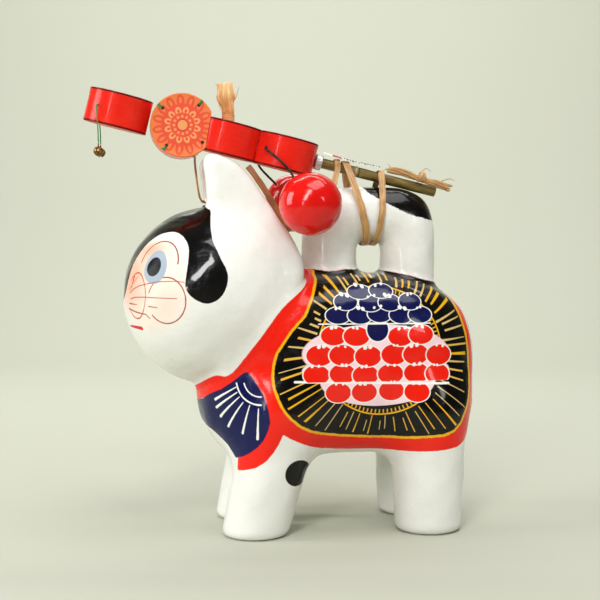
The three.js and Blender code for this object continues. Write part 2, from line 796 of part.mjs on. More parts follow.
const bellTop = BELL_DIAMETER / 2 + 2 * BELL_RING_RADIUS + BELL_RING_WIRE / 2;
for (const thread of THREADS) {
  const mesh = add(thread.name.replace("thread", "hung").replace("_hung", ""), bell(), BRONZE);
  const end = rattle.localToWorld(thread.points.at(-1).clone());
  mesh.position.copy(end).add(point(0, 0, -bellTop - TOUCH_GAP));
}

// Raffia bow: a strip bent into a standing loop on the third drum, held by a knot

const bowFoot = point(THIRD_DRUM_X, 5, axisHeight(THIRD_DRUM_X) + DRUM_DEPTH / 2 + 3);

function bow() {
  const stations = [
    [0.6, -1.2, 0, -1, 0, 0.6],
    [0, -2.6, 0.3, -1, 0.1, 0.75],
    [-1.4, -4, 0.62, -1, 0.2, 1],
    [-1.8, -2.6, 0.88, -1, 0.7, 0.9],
    [-1.6, 0, 0.97, 0, 1, 0.75],
    [-1.8, 2.6, 0.86, 1, 0.7, 0.9],
    [-1.2, 3.6, 0.6, 1, 0.2, 1],
    [0, 2.2, 0.3, 1, 0.1, 0.75],
    [0.6, 0.6, 0, 1, 0, 0.6],
  ].map(([x, y, up, lookY, lookZ, share]) => [
    bowFoot.clone().add(point(x, y, up * BOW_HEIGHT)),
    point(0, lookY, lookZ),
    BOW_WIDTH * share,
  ]);
  const knot = new THREE.IcosahedronGeometry(1, 1);
  knot.scale(BOW_NECK_WIDTH / 2 + 0.6, 3, 1.9);
  knot.translate(bowFoot.x + 0.5, bowFoot.y - 0.3, bowFoot.z + 0.2);
  return toGeometry(toManifold(strip(stations)).add(toManifold(knot)));
}

add("raffia_bow", bow(), RAFFIA);

// Raffia ties
const LEFT = point(0, -1, 0);
const UP = point(0, 0, 1);

// Places before an ear, down from its top by a share of the way to the crown, above
// the crown of the head, and behind an ear by a share of the way down its rear edge
const { lerp } = THREE.MathUtils;
const beforeEar = (x, y, share) =>
  point(EAR_FRONT_X + x, y, lerp(EAR_HEIGHT, HEAD_HEIGHT, share));
const onCrown = (x, y, up) => point(HEAD.x + x, y, HEAD_HEIGHT + up);

function behindEar(share, y, above) {
  const [[topX, topZ], [rootX, rootZ]] = EAR_OUTLINE.slice(1, 3);
  return point(lerp(topX, rootX, share), y, lerp(topZ, rootZ, share) + above);
}

const earTieFront = strip([
  [beforeEar(3, 15.2, -0.756), point(-0.4, 0.6, 0.5), 3],
  [beforeEar(-0.1, 14.2, -0.522), point(-0.9, 0.3, 0.1), 3],
  [beforeEar(-1.1, 12.6, -0.187), point(-1, 0, 0), 3],
  [beforeEar(-1.7, 8.6, 0.08), point(-1, -0.1, 0), 3],
  [beforeEar(-1.3, 2, 0.381), point(-1, -0.2, 0), 3],
  [beforeEar(-0.5, -2, 0.649), point(-1, -0.2, 0), 3.2],
  [onCrown(-6.7, -3.6, 3.9), point(-0.9, 0, 0.5), 3.4],
  [onCrown(-1.5, -2, 1.5), UP, 3.6],
  [onCrown(6.5, 0, 1.3), UP, 3.6],
]);
add("ear_tie_front", earTieFront, RAFFIA);

const earTieRear = strip([
  [behindEar(0.128, -8.4, 5.1), LEFT, 4.6],
  [behindEar(0.221, -9.6, 5.7), LEFT, 4.6],
  [behindEar(0.36, -10.6, 5.9), LEFT, 4.8],
  [behindEar(0.472, -11.2, 5.1), LEFT, 4.8],
  [behindEar(0.574, -11.6, 5), LEFT, 4.6],
  [behindEar(0.695, -11.6, 5.5), LEFT, 4.4],
  [behindEar(0.812, -11, 6.6), LEFT, 4],
]);
add("ear_tie_rear", earTieRear, RAFFIA);

// A wrap round the tail's top bar and the stick over it, through the tail's hole
function tailWrap(lowX, highX, lowWidth, highWidth) {
  const barZ = TAIL_HEIGHT - TAIL_THICKNESS / 2;
  const barRadius = TAIL_THICKNESS / 2 + WRAP_GAP + FACET_GAP;
  const stickZ = axisHeight(highX);
  const stickRadius = STICK_RADIUS + WRAP_GAP + STICK_SPARE;
  const narrowing = Math.asin((barRadius - stickRadius) / (stickZ - barZ));
  const leave = 90 + THREE.MathUtils.radToDeg(narrowing);
  const bottom = barZ - barRadius;
  const top = stickZ + stickRadius;
  const station = (middleZ, radius, angle) => {
    const turn = THREE.MathUtils.degToRad(angle);
    const look = point(0, -Math.sin(turn), -Math.cos(turn));
    const z = middleZ + radius * look.z;
    const share = (z - bottom) / (top - bottom);
    const x = lerp(lowX, highX, share);
    const width = lerp(lowWidth, highWidth, share);
    return [point(x, radius * look.y, z), look, width];
  };
  const nearSide = [0, 0.25, 0.5, 0.75, 1].map((share) => station(barZ, barRadius, share * leave));
  const overStick = [0, 1 / 3, 2 / 3, 1].map((share) =>
    station(stickZ, stickRadius, leave + share * (360 - 2 * leave)),
  );
  const farSide = [1, 0.75, 0.5, 0.25].map((share) => station(barZ, barRadius, -share * leave));
  return strip([...nearSide, ...overStick, ...farSide], { loop: true });
}

add("tail_tie_front", tailWrap(39.2, 27.3, 4.6, 4.2), RAFFIA);
add("tail_tie_rear", tailWrap(44, 49, 3.6, 4.2), RAFFIA);

const overStick = [60, 30, 0, -30, -60, -90].map((angle) => {
  const turn = THREE.MathUtils.degToRad(angle);
  const look = point(0, Math.sin(turn), Math.cos(turn));
  const axis = point(TIE_END_X, 0, axisHeight(TIE_END_X));
  return [axis.addScaledVector(look, STICK_RADIUS + WRAP_GAP + STICK_SPARE), look, 3.8];
});
const tailTieEnd = strip([
  ...overStick,
  [point(20, -8.6, 207.6), point(0, -0.8, 0.5), 4],
  [point(16.6, -14.8, 199.4), point(-0.2, -1, 0.4), 4.2],
  [point(12, -16, 190), point(-0.3, -1, 0), 4.2],
  [point(8.4, -16.2, 181), point(-0.3, -1, 0), 4],
]);
add("tail_tie_end", tailTieEnd, RAFFIA);

// Raffia bundle on the stick: [distance along, radius, angle from the top toward
// the dog's left]. It narrows, is knotted, and flares past the stick's end.
const bundle = taper(
  [
    [10.6, 1.4, 0],
    [13, 2, 6],
    [17, 2.6, 12],
    [24, 2.4, 18],
    [28.5, 2, 24],
    [31.5, 3.1, 30],
    [34.5, 2, 36],
    [41, 2.6, 48],
    [47.5, 3, 58],
  ].map(([along, radius, angle]) => {
    const turn = THREE.MathUtils.degToRad(angle);
    const out = STICK_RADIUS + WRAP_GAP + radius;
    const x = (TAIL_MIDDLE_X - THIRD_DRUM_X) / Math.cos(SLOPE) + along;
    return [point(x, -out * Math.sin(turn), out * Math.cos(turn)), radius];
  }),
);
add("raffia_bundle", bundle, RAFFIA, rattle);

// Paper slip, lying along the stick on its ties
const slipMiddle = (collarEnd + (TAIL_MIDDLE_X - THIRD_DRUM_X) / Math.cos(SLOPE) + 5) / 2;
const overTies = STICK_RADIUS + WRAP_GAP + STICK_SPARE + RAFFIA_THICKNESS / 2;
const slipHeight = overTies + 2 * TOUCH_GAP + SLIP_THICKNESS;
const slip = strip(
  [-0.5, -0.25, 0, 0.25, 0.5].map((share) => [
    point(slipMiddle + share * SLIP_LENGTH, -0.6, slipHeight - Math.cos(share * 6) * 0.25),
    point(0, -0.25, 1),
    SLIP_WIDTH,
  ]),
  { thickness: SLIP_THICKNESS },
);
add("paper_slip", slip, PAPER, rattle);

// The origin is under the middle of the whole, on the ground
const CORD_NAMES = [...CORDS, ...THREADS].map((cord) => cord.name);
object.updateMatrixWorld(true);
const box = new THREE.Box3();
object.traverse((mesh) => {
  if (mesh.isMesh && !CORD_NAMES.includes(mesh.name)) box.expandByObject(mesh, true);
});
const middle = box.getCenter(new THREE.Vector3());
object.position.set(-middle.x, -middle.y, -box.min.z);

export default object;
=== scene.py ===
# Looks of a papier-mache toy dog with a drum rattle tied over its ears and tail.
# All sizes are in millimetres, with x along the dog from its middle, y to its right
# and z up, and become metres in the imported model's frame on the way into a mesh.
import math

import bmesh
import bpy
import numpy as np
from mathutils import Matrix, Vector


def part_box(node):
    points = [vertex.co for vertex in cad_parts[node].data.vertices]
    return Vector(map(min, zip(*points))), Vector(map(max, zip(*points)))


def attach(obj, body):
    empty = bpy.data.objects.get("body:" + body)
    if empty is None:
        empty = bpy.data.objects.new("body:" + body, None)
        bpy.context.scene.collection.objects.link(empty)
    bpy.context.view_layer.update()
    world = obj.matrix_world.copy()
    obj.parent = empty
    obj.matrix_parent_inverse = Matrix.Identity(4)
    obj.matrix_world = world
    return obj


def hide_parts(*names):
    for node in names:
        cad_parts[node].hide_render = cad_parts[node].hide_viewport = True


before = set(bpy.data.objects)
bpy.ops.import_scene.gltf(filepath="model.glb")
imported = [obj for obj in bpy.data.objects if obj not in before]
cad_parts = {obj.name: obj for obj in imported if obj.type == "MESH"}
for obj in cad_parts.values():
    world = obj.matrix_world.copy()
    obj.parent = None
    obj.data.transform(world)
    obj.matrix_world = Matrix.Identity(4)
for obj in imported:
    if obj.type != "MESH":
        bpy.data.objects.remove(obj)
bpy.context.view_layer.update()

# Sizes of the dog, as in the solids
HEAD_DIAMETER = 105
HEAD_WIDTH = 101
HEAD_HEIGHT = 190.5
HEAD_FRONT_X = -105
BODY_LENGTH = 166
BODY_WIDTH = 92
BACK_HEIGHT = 152
BELLY_HEIGHT = 44
RUMP_X = 104
BODY_POWER = 2.8
CHEST_DIAMETER = 64
CHEST_X = -24
CHEST_Z = 71
FOOT_DIAMETER = 39
LEG_TOP_DIAMETER = 45
LEG_TRACK = 50
FRONT_FOOT_X = -30
HIND_FOOT_X = 73
FRONT_LEG_LEAN = 16
LEG_ROOT_HEIGHT = 70
FOOT_EDGE_RADIUS = 5
EAR_HEIGHT = 220.4
EAR_TOP_WIDTH = 23
EAR_ROOT_WIDTH = 58
EAR_FRONT_X = -60.5
EAR_LEAN = 8
EAR_THICKNESS = 11
EAR_SPREAD_TOP = 35
EAR_SPREAD_ROOT = 60
EAR_ROOT_HEIGHT = 152
EAR_CORNER_RADIUS = 5
EAR_CUP_DEPTH = 3
EAR_BACK_X = 0.5
EAR_HEEL = (-0.5, 146)
TAIL_SPAN = 81
TAIL_THICKNESS = 33
TAIL_HEIGHT = 203
TAIL_MIDDLE_X = 41.5
TAIL_POWER = 3.5
LEG_BLEND = 16
NECK_BLEND = 5
EAR_BLEND = 10
TAIL_BLEND = 6

# Sizes of the rattle
TOUCH_GAP = 0.3
BORE_GAP = 0.3
FACET_GAP = 0.9
REST_GAP = 0.1
DRUM_DIAMETER = 37.2
DRUM_DEPTH = 19.8
DRUM_NEST = 9
FLAT_NEST = 2.5
SECOND_DRUM_SHIFT = 4
DRUM_ROLL = math.radians(3.5)
THIRD_DRUM_X = -43
STICK_DIAMETER = 6.2
STICK_IN_DRUM = 9
STICK_PAST_TAIL = 42.3
NODE_RING_SHARE = 0.3
NODE_RING_HEIGHT = 0.5
COLLAR_DIAMETER = 9.4
COLLAR_LENGTH = 4
BALL_DIAMETER = 36.4
BALL_X = 1
BALL_LIFT_FAR = 3
BALL_SIDE_GAP = 1
CORD_DIAMETER = 1.4
CORD_HOLE_DEPTH = 3
BELL_DIAMETER = 5.9
BELL_RING_RADIUS = 0.9
BELL_RING_WIRE = 0.32
THREAD_DIAMETER = 0.7
THREAD_DROP = 21.5
THREAD_IN_DRUM = 8.5
THREAD_HOLE_ANGLE = 52
RAFFIA_THICKNESS = 0.8
TIE_END_X = 22.3
WRAP_GAP = 1.1
STICK_SPARE = 0.2
BOW_HEIGHT = 21.5
BOW_WIDTH = 11.4
BOW_NECK_WIDTH = 6.5
SLIP_LENGTH = 36
SLIP_WIDTH = 6
SLIP_THICKNESS = 0.5

# Places that follow from them
HEAD_X = HEAD_FRONT_X + HEAD_DIAMETER / 2
HEAD_Z = HEAD_HEIGHT - HEAD_DIAMETER / 2
BODY_X = RUMP_X - BODY_LENGTH / 2
BODY_Z = (BACK_HEIGHT + BELLY_HEIGHT) / 2
TAIL_HALF = TAIL_SPAN / 2
TAIL_Z = TAIL_HEIGHT - TAIL_HALF
EAR_MIDDLE_X = EAR_FRONT_X + EAR_TOP_WIDTH / 2
DRUM_RADIUS = DRUM_DIAMETER / 2
STICK_RADIUS = STICK_DIAMETER / 2
OVER_EARS = DRUM_DEPTH / 2 + DRUM_RADIUS * math.sin(DRUM_ROLL) + TOUCH_GAP
OVER_TAIL = STICK_RADIUS + REST_GAP


def rest_on_tail(slope):
    steep = abs(math.tan(slope)) ** (1 / (TAIL_POWER - 1))
    up = TAIL_HALF / (1 + steep**TAIL_POWER) ** (1 / TAIL_POWER)
    return TAIL_MIDDLE_X + math.copysign(steep * up, slope), TAIL_Z + up


def slope_of_rattle():
    slope = 0.0
    for _ in range(12):
        rest_x, rest_z = rest_on_tail(slope)
        front = EAR_HEIGHT + OVER_EARS / math.cos(slope)
        back = rest_z + OVER_TAIL / math.cos(slope)
        slope = math.atan((front - back) / (rest_x - EAR_MIDDLE_X))
    return slope


SLOPE = slope_of_rattle()


def axis_height(x):
    front = EAR_HEIGHT + OVER_EARS / math.cos(SLOPE)
    return front - (x - EAR_MIDDLE_X) * math.tan(SLOPE)


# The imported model's middle lies a little behind the dog's own middle
ball_low, ball_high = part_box("near_ball")
SHIFT = (ball_low.x + ball_high.x) * 500 - BALL_X
ORIGIN = np.array([THIRD_DRUM_X, 0, axis_height(THIRD_DRUM_X)])


def metres(points):
    points = np.asarray(points, float).reshape(-1, 3)
    return (points + [SHIFT, 0, 0]) / 1000


def from_rattle(points):
    """From the rattle's own frame, x along its axis, to the dog's"""
    x, y, z = np.asarray(points, float).reshape(-1, 3).T
    c, s = math.cos(SLOPE), math.sin(SLOPE)
    return np.stack([x * c + z * s, y, z * c - x * s], 1) + ORIGIN


def to_rattle(points):
    x, y, z = (np.asarray(points, float).reshape(-1, 3) - ORIGIN).T
    c, s = math.cos(SLOPE), math.sin(SLOPE)
    return np.stack([x * c - z * s, y, z * c + x * s], 1)


# Camera: the photograph is taken from the dog's left, a little ahead of it
LOOK = math.radians(-8)
RIGHT = np.array([math.cos(LOOK), math.sin(LOOK), 0])
AHEAD = np.array([-math.sin(LOOK), math.cos(LOOK), 0])
UP = np.array([0, 0, 1])
CAMERA_DISTANCE = 720
CAMERA_HEIGHT = 168
CAMERA_PITCH = math.radians(2.62)
LENS = 72
SENSOR_WIDTH = 36
NEAREST_SEEN = 0.01
SCENE = bpy.context.scene


def make_camera():
    data = bpy.data.cameras.new("camera")
    data.lens = LENS
    data.sensor_width = SENSOR_WIDTH
    data.clip_start = NEAREST_SEEN
    camera = bpy.data.objects.new("camera", data)
    SCENE.collection.objects.link(camera)
    eye = -AHEAD * CAMERA_DISTANCE + UP * CAMERA_HEIGHT
    camera.location = metres(eye)[0]
    aim = AHEAD * math.cos(CAMERA_PITCH) - UP * math.sin(CAMERA_PITCH)
    camera.rotation_euler = Vector(aim).to_track_quat("-Z", "Y").to_euler()
    SCENE.camera = camera


make_camera()


def link(name, data):
    thing = bpy.data.objects.new(name, data)
    SCENE.collection.objects.link(thing)
    return thing


# Smooth paths through a few points, as in the solids
def smooth_path(points, per_span, loop=False):
    """Places at even steps along a centripetal curve through the points"""
    points = np.asarray(points, float)
    count = len(points)
    spans = count if loop else count - 1
    if loop:
        ring = np.concatenate([points[-1:], points, points[:2]])
    else:
        ring = np.concatenate([[2 * points[0] - points[1]], points, [2 * points[-1] - points[-2]]])
    places = []
    for i in range(spans):
        p0, p1, p2, p3 = ring[i : i + 4, :3]
        d0, d1, d2 = (max(np.linalg.norm(b - a), 1e-4) ** 0.5 for a, b in ((p0, p1), (p1, p2), (p2, p3)))
        q0, q1, q2, q3 = ring[i : i + 4]
        m1 = ((q1 - q0) / d0 - (q2 - q0) / (d0 + d1) + (q2 - q1) / d1) * d1
        m2 = ((q2 - q1) / d1 - (q3 - q1) / (d1 + d2) + (q3 - q2) / d2) * d1
        for t in np.arange(per_span) / per_span:
            cube = 2 * q1 - 2 * q2 + m1 + m2
            square = -3 * q1 + 3 * q2 - 2 * m1 - m2
            places.append(q1 + m1 * t + square * t**2 + cube * t**3)
    if not loop:
        places.append(points[-1])
    return np.array(places)


# Cords and threads
def on_drum(drum_x, angle, radius, height):
    turn = math.radians(angle)
    x, y = -radius * math.cos(turn), -radius * math.sin(turn)
    c, s = math.cos(DRUM_ROLL), math.sin(DRUM_ROLL)
    return np.array([x + drum_x, y * c - height * s, y * s + height * c])


NESTED_PITCH = DRUM_DIAMETER - DRUM_NEST
FIRST_X = -NESTED_PITCH - DRUM_DIAMETER - 2 * TOUCH_GAP
SECOND_X = -NESTED_PITCH
FOURTH_X = DRUM_DIAMETER - FLAT_NEST

NEAR_CORD_ROUTE = [
    (46, -CORD_HOLE_DEPTH, 0.6),
    (46, 0, 0.2),
    (49, 1.6, -0.4),
    (58, 1.7, -1.8),
    (72, 1.3, -4),
    (86, 1.3, -6.6),
    (98, 1.4, -9.4),
]
FAR_CORD_ROUTE = [
    (-40, -CORD_HOLE_DEPTH, 0.6),
    (-40, 0, 0.2),
    (-42, 2, -0.8),
    (-46, 3.2, -3.4),
    (-52, 3.6, -7.4),
    (-62, 3.8, -11),
]
# a bell thread's way down from its hole: along the dog, outward and up
THREAD_HANG = [(0.3, 2, -8.5), (0.6, 2.1, -15), (0.8, 2.1, -THREAD_DROP)]


def ball_centre(side):
    lift = 0 if side < 0 else BALL_LIFT_FAR
    under = (DRUM_DEPTH / 2 + TOUCH_GAP) / math.cos(SLOPE)
    z = axis_height(BALL_X) - under - BALL_DIAMETER / 2 + lift
    return np.array([BALL_X, side * (TAIL_THICKNESS / 2 + BALL_DIAMETER / 2 + BALL_SIDE_GAP), z])


def cord_route(side):
    route = NEAR_CORD_ROUTE if side < 0 else FAR_CORD_ROUTE
    points = [on_drum(FOURTH_X, angle, DRUM_RADIUS + out, height) for angle, out, height in route]
    centre = to_rattle(ball_centre(side))[0]
    away = points[-1] - centre
    points.append(centre + away / np.linalg.norm(away) * (BALL_DIAMETER / 2 + TOUCH_GAP))
    return points


def thread_route(side):
    angle = side * -THREAD_HOLE_ANGLE
    start = on_drum(FIRST_X, angle, DRUM_RADIUS - THREAD_IN_DRUM, 0)
    hole = on_drum(FIRST_X, angle, DRUM_RADIUS, 0)
    out = from_rattle(on_drum(FIRST_X, angle, DRUM_RADIUS + 1, 0))[0]
    hang = [out] + [out + (x, side * y, z) for x, y, z in THREAD_HANG]
    return [start, hole, *to_rattle(hang)]


def make_cord(name, route, diameter, steps=10):
    """A cord along a route in the rattle's frame; returns its object"""
    path = metres(from_rattle(smooth_path(route, steps)))
    data = bpy.data.curves.new(name, "CURVE")
    data.dimensions = "3D"
    data.bevel_depth = 1
    data.bevel_resolution = 3
    data.use_fill_caps = True
    spline = data.splines.new("POLY")
    spline.points.add(len(path) - 1)
    for target, place in zip(spline.points, path):
        target.co = (*place, 1)
        target.radius = diameter / 2000
    piece = link(name, data)
    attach(piece, "root")
    return piece


CORD_PIECES = {}
for cord_name, cord_side in (("near_ball_cord", -1), ("far_ball_cord", 1)):
    piece = make_cord(cord_name + "_twine", cord_route(cord_side), CORD_DIAMETER)
    CORD_PIECES[cord_name] = piece
for cord_name, cord_side in (("near_bell_thread", -1), ("far_bell_thread", 1)):
    piece = make_cord(cord_name + "_twist", thread_route(cord_side), THREAD_DIAMETER)
    CORD_PIECES[cord_name] = piece
for cord_name, piece in CORD_PIECES.items():
    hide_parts(cord_name)


# Floor, backdrop and light, in metres
SWEEP_FRONT = -3.0
SWEEP_BEND = 0.9
SWEEP_RADIUS = 0.7
SWEEP_TOP = 3.0
SWEEP_HALF = 4.0
SWEEP_STEPS = 12


def make_studio():
    """A floor that bends up into the backdrop"""
    profile = [(SWEEP_FRONT, 0.0), (SWEEP_BEND, 0.0)]
    for step in range(1, SWEEP_STEPS + 1):
        turn = math.radians(90 * step / SWEEP_STEPS)
        profile.append((SWEEP_BEND + SWEEP_RADIUS * math.sin(turn), SWEEP_RADIUS * (1 - math.cos(turn))))
    profile.append((SWEEP_BEND + SWEEP_RADIUS, SWEEP_TOP))
    vertices = []
    for along, up in profile:
        for side in (-SWEEP_HALF, SWEEP_HALF):
            vertices.append(tuple(AHEAD * along + RIGHT * side + UP * up))
    faces = [(2 * i, 2 * i + 1, 2 * i + 3, 2 * i + 2) for i in range(len(profile) - 1)]
    data = bpy.data.meshes.new("studio_sweep")
    data.from_pydata(vertices, [], faces)
    data.polygons.foreach_set("use_smooth", [True] * len(faces))
    sweep = link("studio_sweep", data)
    return sweep


STUDIO = make_studio()
MIDDLE = np.array([0, 0, 0.13])


def from_camera(direction):
    """A direction given as (right, up, toward the camera)"""
    right, up, back = direction
    away = RIGHT * right + UP * up - AHEAD * back
    return away / np.linalg.norm(away)


def make_light(name, direction, distance, size, power, long_to=None, at=None, aim=MIDDLE):
    """A soft box; long_to is a second direction that its long side points to"""
    if at is None:
        at = MIDDLE + from_camera(direction) * distance
    away = (at - aim) / np.linalg.norm(at - aim)
    data = bpy.data.lights.new(name, "AREA")
    data.shape = "RECTANGLE"
    data.size, data.size_y = size
    data.energy = power
    lamp = link(name, data)
    lamp.location = at
    if long_to is None:
        lamp.rotation_euler = Vector(away).to_track_quat("Z", "Y").to_euler()
    else:
        side = np.cross(from_camera(long_to), away)
        side = side / np.linalg.norm(side)
        axes = np.stack([side, np.cross(away, side), away], 1)
        lamp.rotation_euler = Matrix(axes.tolist()).to_euler()


make_light("front_box", (-0.18, 0.56, 0.79), 1.5, (0.24, 1.0), 12, long_to=(0.04, 0.8, 0.6))
make_light("low_box", (-0.47, 0.1, 0.87), 1.5, (0.08, 0.34), 1.5)
make_light("left_box", (-0.93, 0.34, 0.15), 1.3, (0.5, 0.8), 9)
make_light("top_box", (0.25, 0.92, 0.25), 1.4, (1.0, 0.7), 10)
make_light("right_box", (0.66, 0.34, 0.66), 1.6, (0.24, 0.3), 2.2)
make_light("crown_box", (-0.1, 0.64, -0.76), 1.2, (0.6, 0.3), 1.5)
BACKDROP_LAMP = AHEAD * 0.5 + UP * 1.35
BACKDROP_AIM = AHEAD * 1.5 + UP * 0.5
make_light("backdrop_box", None, None, (1.8, 0.4), 21, at=BACKDROP_LAMP, aim=BACKDROP_AIM)

WORLD_TONE = (0.86, 0.88, 0.84, 1)
WORLD_STRENGTH = 0.11

world = bpy.data.worlds.new("world")
world.use_nodes = True
background = world.node_tree.nodes["Background"]
background.inputs[0].default_value = WORLD_TONE
background.inputs[1].default_value = WORLD_STRENGTH
SCENE.world = world
SCENE.view_settings.view_transform = "Standard"
SCENE.view_settings.look = "None"


# Numbers and colours inside a material
class Ink:
    """A number that a material works out at each point of the surface"""

    tree = None

    def __init__(self, out):
        self.out = out

    @classmethod
    def math(cls, operation, *values, clamp=False):
        node = cls.tree.nodes.new("ShaderNodeMath")
        node.operation = operation
        node.use_clamp = clamp
        for socket, value in zip(node.inputs, values):
            cls.feed(socket, value)
        return cls(node.outputs[0])

    @classmethod
    def vector(cls, operation, *values, out=0, scale=None):
        node = cls.tree.nodes.new("ShaderNodeVectorMath")
        node.operation = operation
        for socket, value in zip(node.inputs, values):
            cls.feed(socket, value)
        if scale is not None:
            cls.feed(node.inputs["Scale"], scale)
        return cls(node.outputs[out])

    @classmethod
    def feed(cls, socket, value):
        if isinstance(value, Ink):
            cls.tree.links.new(value.out, socket)
        else:
            socket.default_value = value

    def __add__(self, other):
        return Ink.math("ADD", self, other)

    def __sub__(self, other):
        return Ink.math("SUBTRACT", self, other)

    def __mul__(self, other):
        return Ink.math("MULTIPLY", self, other)

    def __rsub__(self, other):
        return Ink.math("SUBTRACT", other, self)

    __radd__ = __add__
    __rmul__ = __mul__

    def below(self, edge, soft=0.35):
        """1 where the number is under the edge, 0 above it, with a soft step between"""
        return Ink.math("MULTIPLY_ADD", self, -1 / soft, edge / soft + 0.5, clamp=True)

    def above(self, edge, soft=0.35):
        return Ink.math("MULTIPLY_ADD", self, 1 / soft, 0.5 - edge / soft, clamp=True)

    def least(self, other):
        return Ink.math("MINIMUM", self, other)

    def most(self, other):
        return Ink.math("MAXIMUM", self, other)

    def size(self):
        return Ink.math("ABSOLUTE", self)


def combine(x, y, z=0.0):
    node = Ink.tree.nodes.new("ShaderNodeCombineXYZ")
    for socket, value in zip(node.inputs, (x, y, z)):
        Ink.feed(socket, value)
    return Ink(node.outputs[0])


def parts(vector):
    node = Ink.tree.nodes.new("ShaderNodeSeparateXYZ")
    Ink.feed(node.inputs[0], vector)
    return [Ink(out) for out in node.outputs]


def attribute(name):
    node = Ink.tree.nodes.new("ShaderNodeAttribute")
    node.attribute_name = name
    return Ink(node.outputs["Fac"])


def noise(where, scale, detail=2.0, roughness=0.5):
    node = Ink.tree.nodes.new("ShaderNodeTexNoise")
    Ink.feed(node.inputs["Vector"], where)
    node.inputs["Scale"].default_value = scale
    node.inputs["Detail"].default_value = detail
    node.inputs["Roughness"].default_value = roughness
    return Ink(node.outputs["Fac"])


def chance(value):
    """A random number from 0 to 1 for each whole number"""
    node = Ink.tree.nodes.new("ShaderNodeTexWhiteNoise")
    node.noise_dimensions = "1D"
    Ink.feed(node.inputs["W"], value)
    return Ink(node.outputs["Value"])


def linear(colour):
    """From the eight-bit numbers of a screen colour to light"""
    light = [(c / 255 / 12.92) if c < 10.3 else ((c / 255 + 0.055) / 1.055) ** 2.4 for c in colour]
    return (*light, 1.0)


def over(base, mask, colour):
    """Paints a colour over another where the mask is 1"""
    node = Ink.tree.nodes.new("ShaderNodeMix")
    node.data_type = "RGBA"
    Ink.feed(node.inputs[0], mask)
    Ink.feed(node.inputs[6], base if isinstance(base, Ink) else linear(base))
    Ink.feed(node.inputs[7], colour if isinstance(colour, Ink) else linear(colour))
    return Ink(node.outputs[2])


def local_mm():
    """The place on the surface in the dog's millimetres"""
    node = Ink.tree.nodes.new("ShaderNodeTexCoord")
    place = Ink(node.outputs["Object"])
    return Ink.vector("MULTIPLY_ADD", place, (1000, 1000, 1000), (-SHIFT, 0, 0))


# Flat drawing, on a pair of coordinates held in one vector
def oval(where, centre, half):
    """1 on the oval's edge, less inside"""
    scale = (1 / half[0], 1 / half[1], 0)
    start = (-centre[0] / half[0], -centre[1] / half[1], 0)
    return Ink.vector("LENGTH", Ink.vector("MULTIPLY_ADD", where, scale, start), out=1)


def stroke(where, start, end, width=0.5, end_width=None):
    """Below 0 inside a brush stroke between two places"""
    end_width = width if end_width is None else end_width
    run = (end[0] - start[0], end[1] - start[1], 0)
    square = run[0] ** 2 + run[1] ** 2
    off = Ink.vector("ADD", where, (-start[0], -start[1], 0))
    along = Ink.vector("DOT_PRODUCT", off, run, out=1)
    along = Ink.math("MULTIPLY", along, 1 / square, clamp=True)
    nearest = Ink.vector("SCALE", run, scale=along)
    away = Ink.vector("LENGTH", Ink.vector("SUBTRACT", off, nearest), out=1)
    return away - (along * ((end_width - width) / 2) + width / 2)


def polyline(where, points, width=0.5, end_width=None):
    end_width = width if end_width is None else end_width
    spans = len(points) - 1
    lines = None
    for i, (start, end) in enumerate(zip(points, points[1:])):
        w0 = width + (end_width - width) * i / spans
        w1 = width + (end_width - width) * (i + 1) / spans
        line = stroke(where, start, end, w0, w1)
        lines = line if lines is None else lines.least(line)
    return lines


def new_material(name):
    material = bpy.data.materials.new(name)
    material.use_nodes = True
    tree = material.node_tree
    Ink.tree = tree
    return material, tree.nodes["Principled BSDF"]


def bump(height, strength, distance):
    node = Ink.tree.nodes.new("ShaderNodeBump")
    Ink.feed(node.inputs["Height"], height)
    node.inputs["Strength"].default_value = strength
    node.inputs["Distance"].default_value = distance
    return Ink(node.outputs[0])

def flat_place():
    """The flat coordinates laid on a piece, in millimetres"""
    node = Ink.tree.nodes.new("ShaderNodeUVMap")
    node.uv_map = "along"
    return Ink(node.outputs[0])


def painted(colour, distance, tone, soft=0.3):
    """Paints a tone where a distance is below zero"""
    return over(colour, distance.below(0, soft), tone)


def finish(shader, colour, rough, height, strength, depth):
    """Colour, roughness and fine relief; the depth is in metres"""
    Ink.feed(shader.inputs["Base Color"], colour)
    Ink.feed(shader.inputs["Roughness"], rough)
    Ink.feed(shader.inputs["Normal"], bump(height, strength, depth))


# Paint colours
WHITE = (240, 240, 234)
BLACK = (5, 4, 4)
RED = (240, 32, 14)
NAVY = (12, 18, 74)
GOLD = (240, 180, 24)
PALE_GOLD = (222, 190, 120)
PINK_WHITE = (250, 216, 224)
LINE_WHITE = (246, 244, 236)
CREAM = (250, 230, 214)
BLUSH = (246, 168, 138)
BROWN = (170, 62, 34)
EYE_GREY = (164, 178, 192)
NOSE_RED = (214, 48, 26)
CHEEK_TONE = (246, 178, 160)
NOSE_LINE = (190, 92, 62)
BROW_LINE = (150, 58, 38)
NOSTRIL_TONE = (200, 80, 60)
EAR_PINK = (246, 168, 140)
OFF_WHITE = (230, 228, 216)
GRIME = (120, 108, 84)
DRUM_RED = (238, 38, 24)
DRUM_STREAK = (206, 22, 14)
DRUM_CLOUD = (250, 66, 40)
EDGE_RED = (120, 10, 8)
EDGE_DARK = (60, 8, 6)
BALL_RED = (226, 20, 14)
BALL_DARK = (196, 10, 10)
BRONZE_TONE = (176, 138, 84)
TARNISH = (96, 66, 36)
CANE = (128, 104, 40)
CANE_GRAIN = (92, 74, 26)
CANE_LIGHT = (150, 128, 66)
CANE_DARK = (64, 46, 18)
CANE_RING = (170, 150, 98)
# dark brown of the painted shadow just past the stick's node ring
CANE_PAINTED_SHADOW = (60, 42, 18)
FOIL = (214, 212, 206)
FOIL_CREASE = (150, 150, 150)
SLIP_PAPER = (236, 230, 214)
SLIP_CREASE = (206, 198, 180)
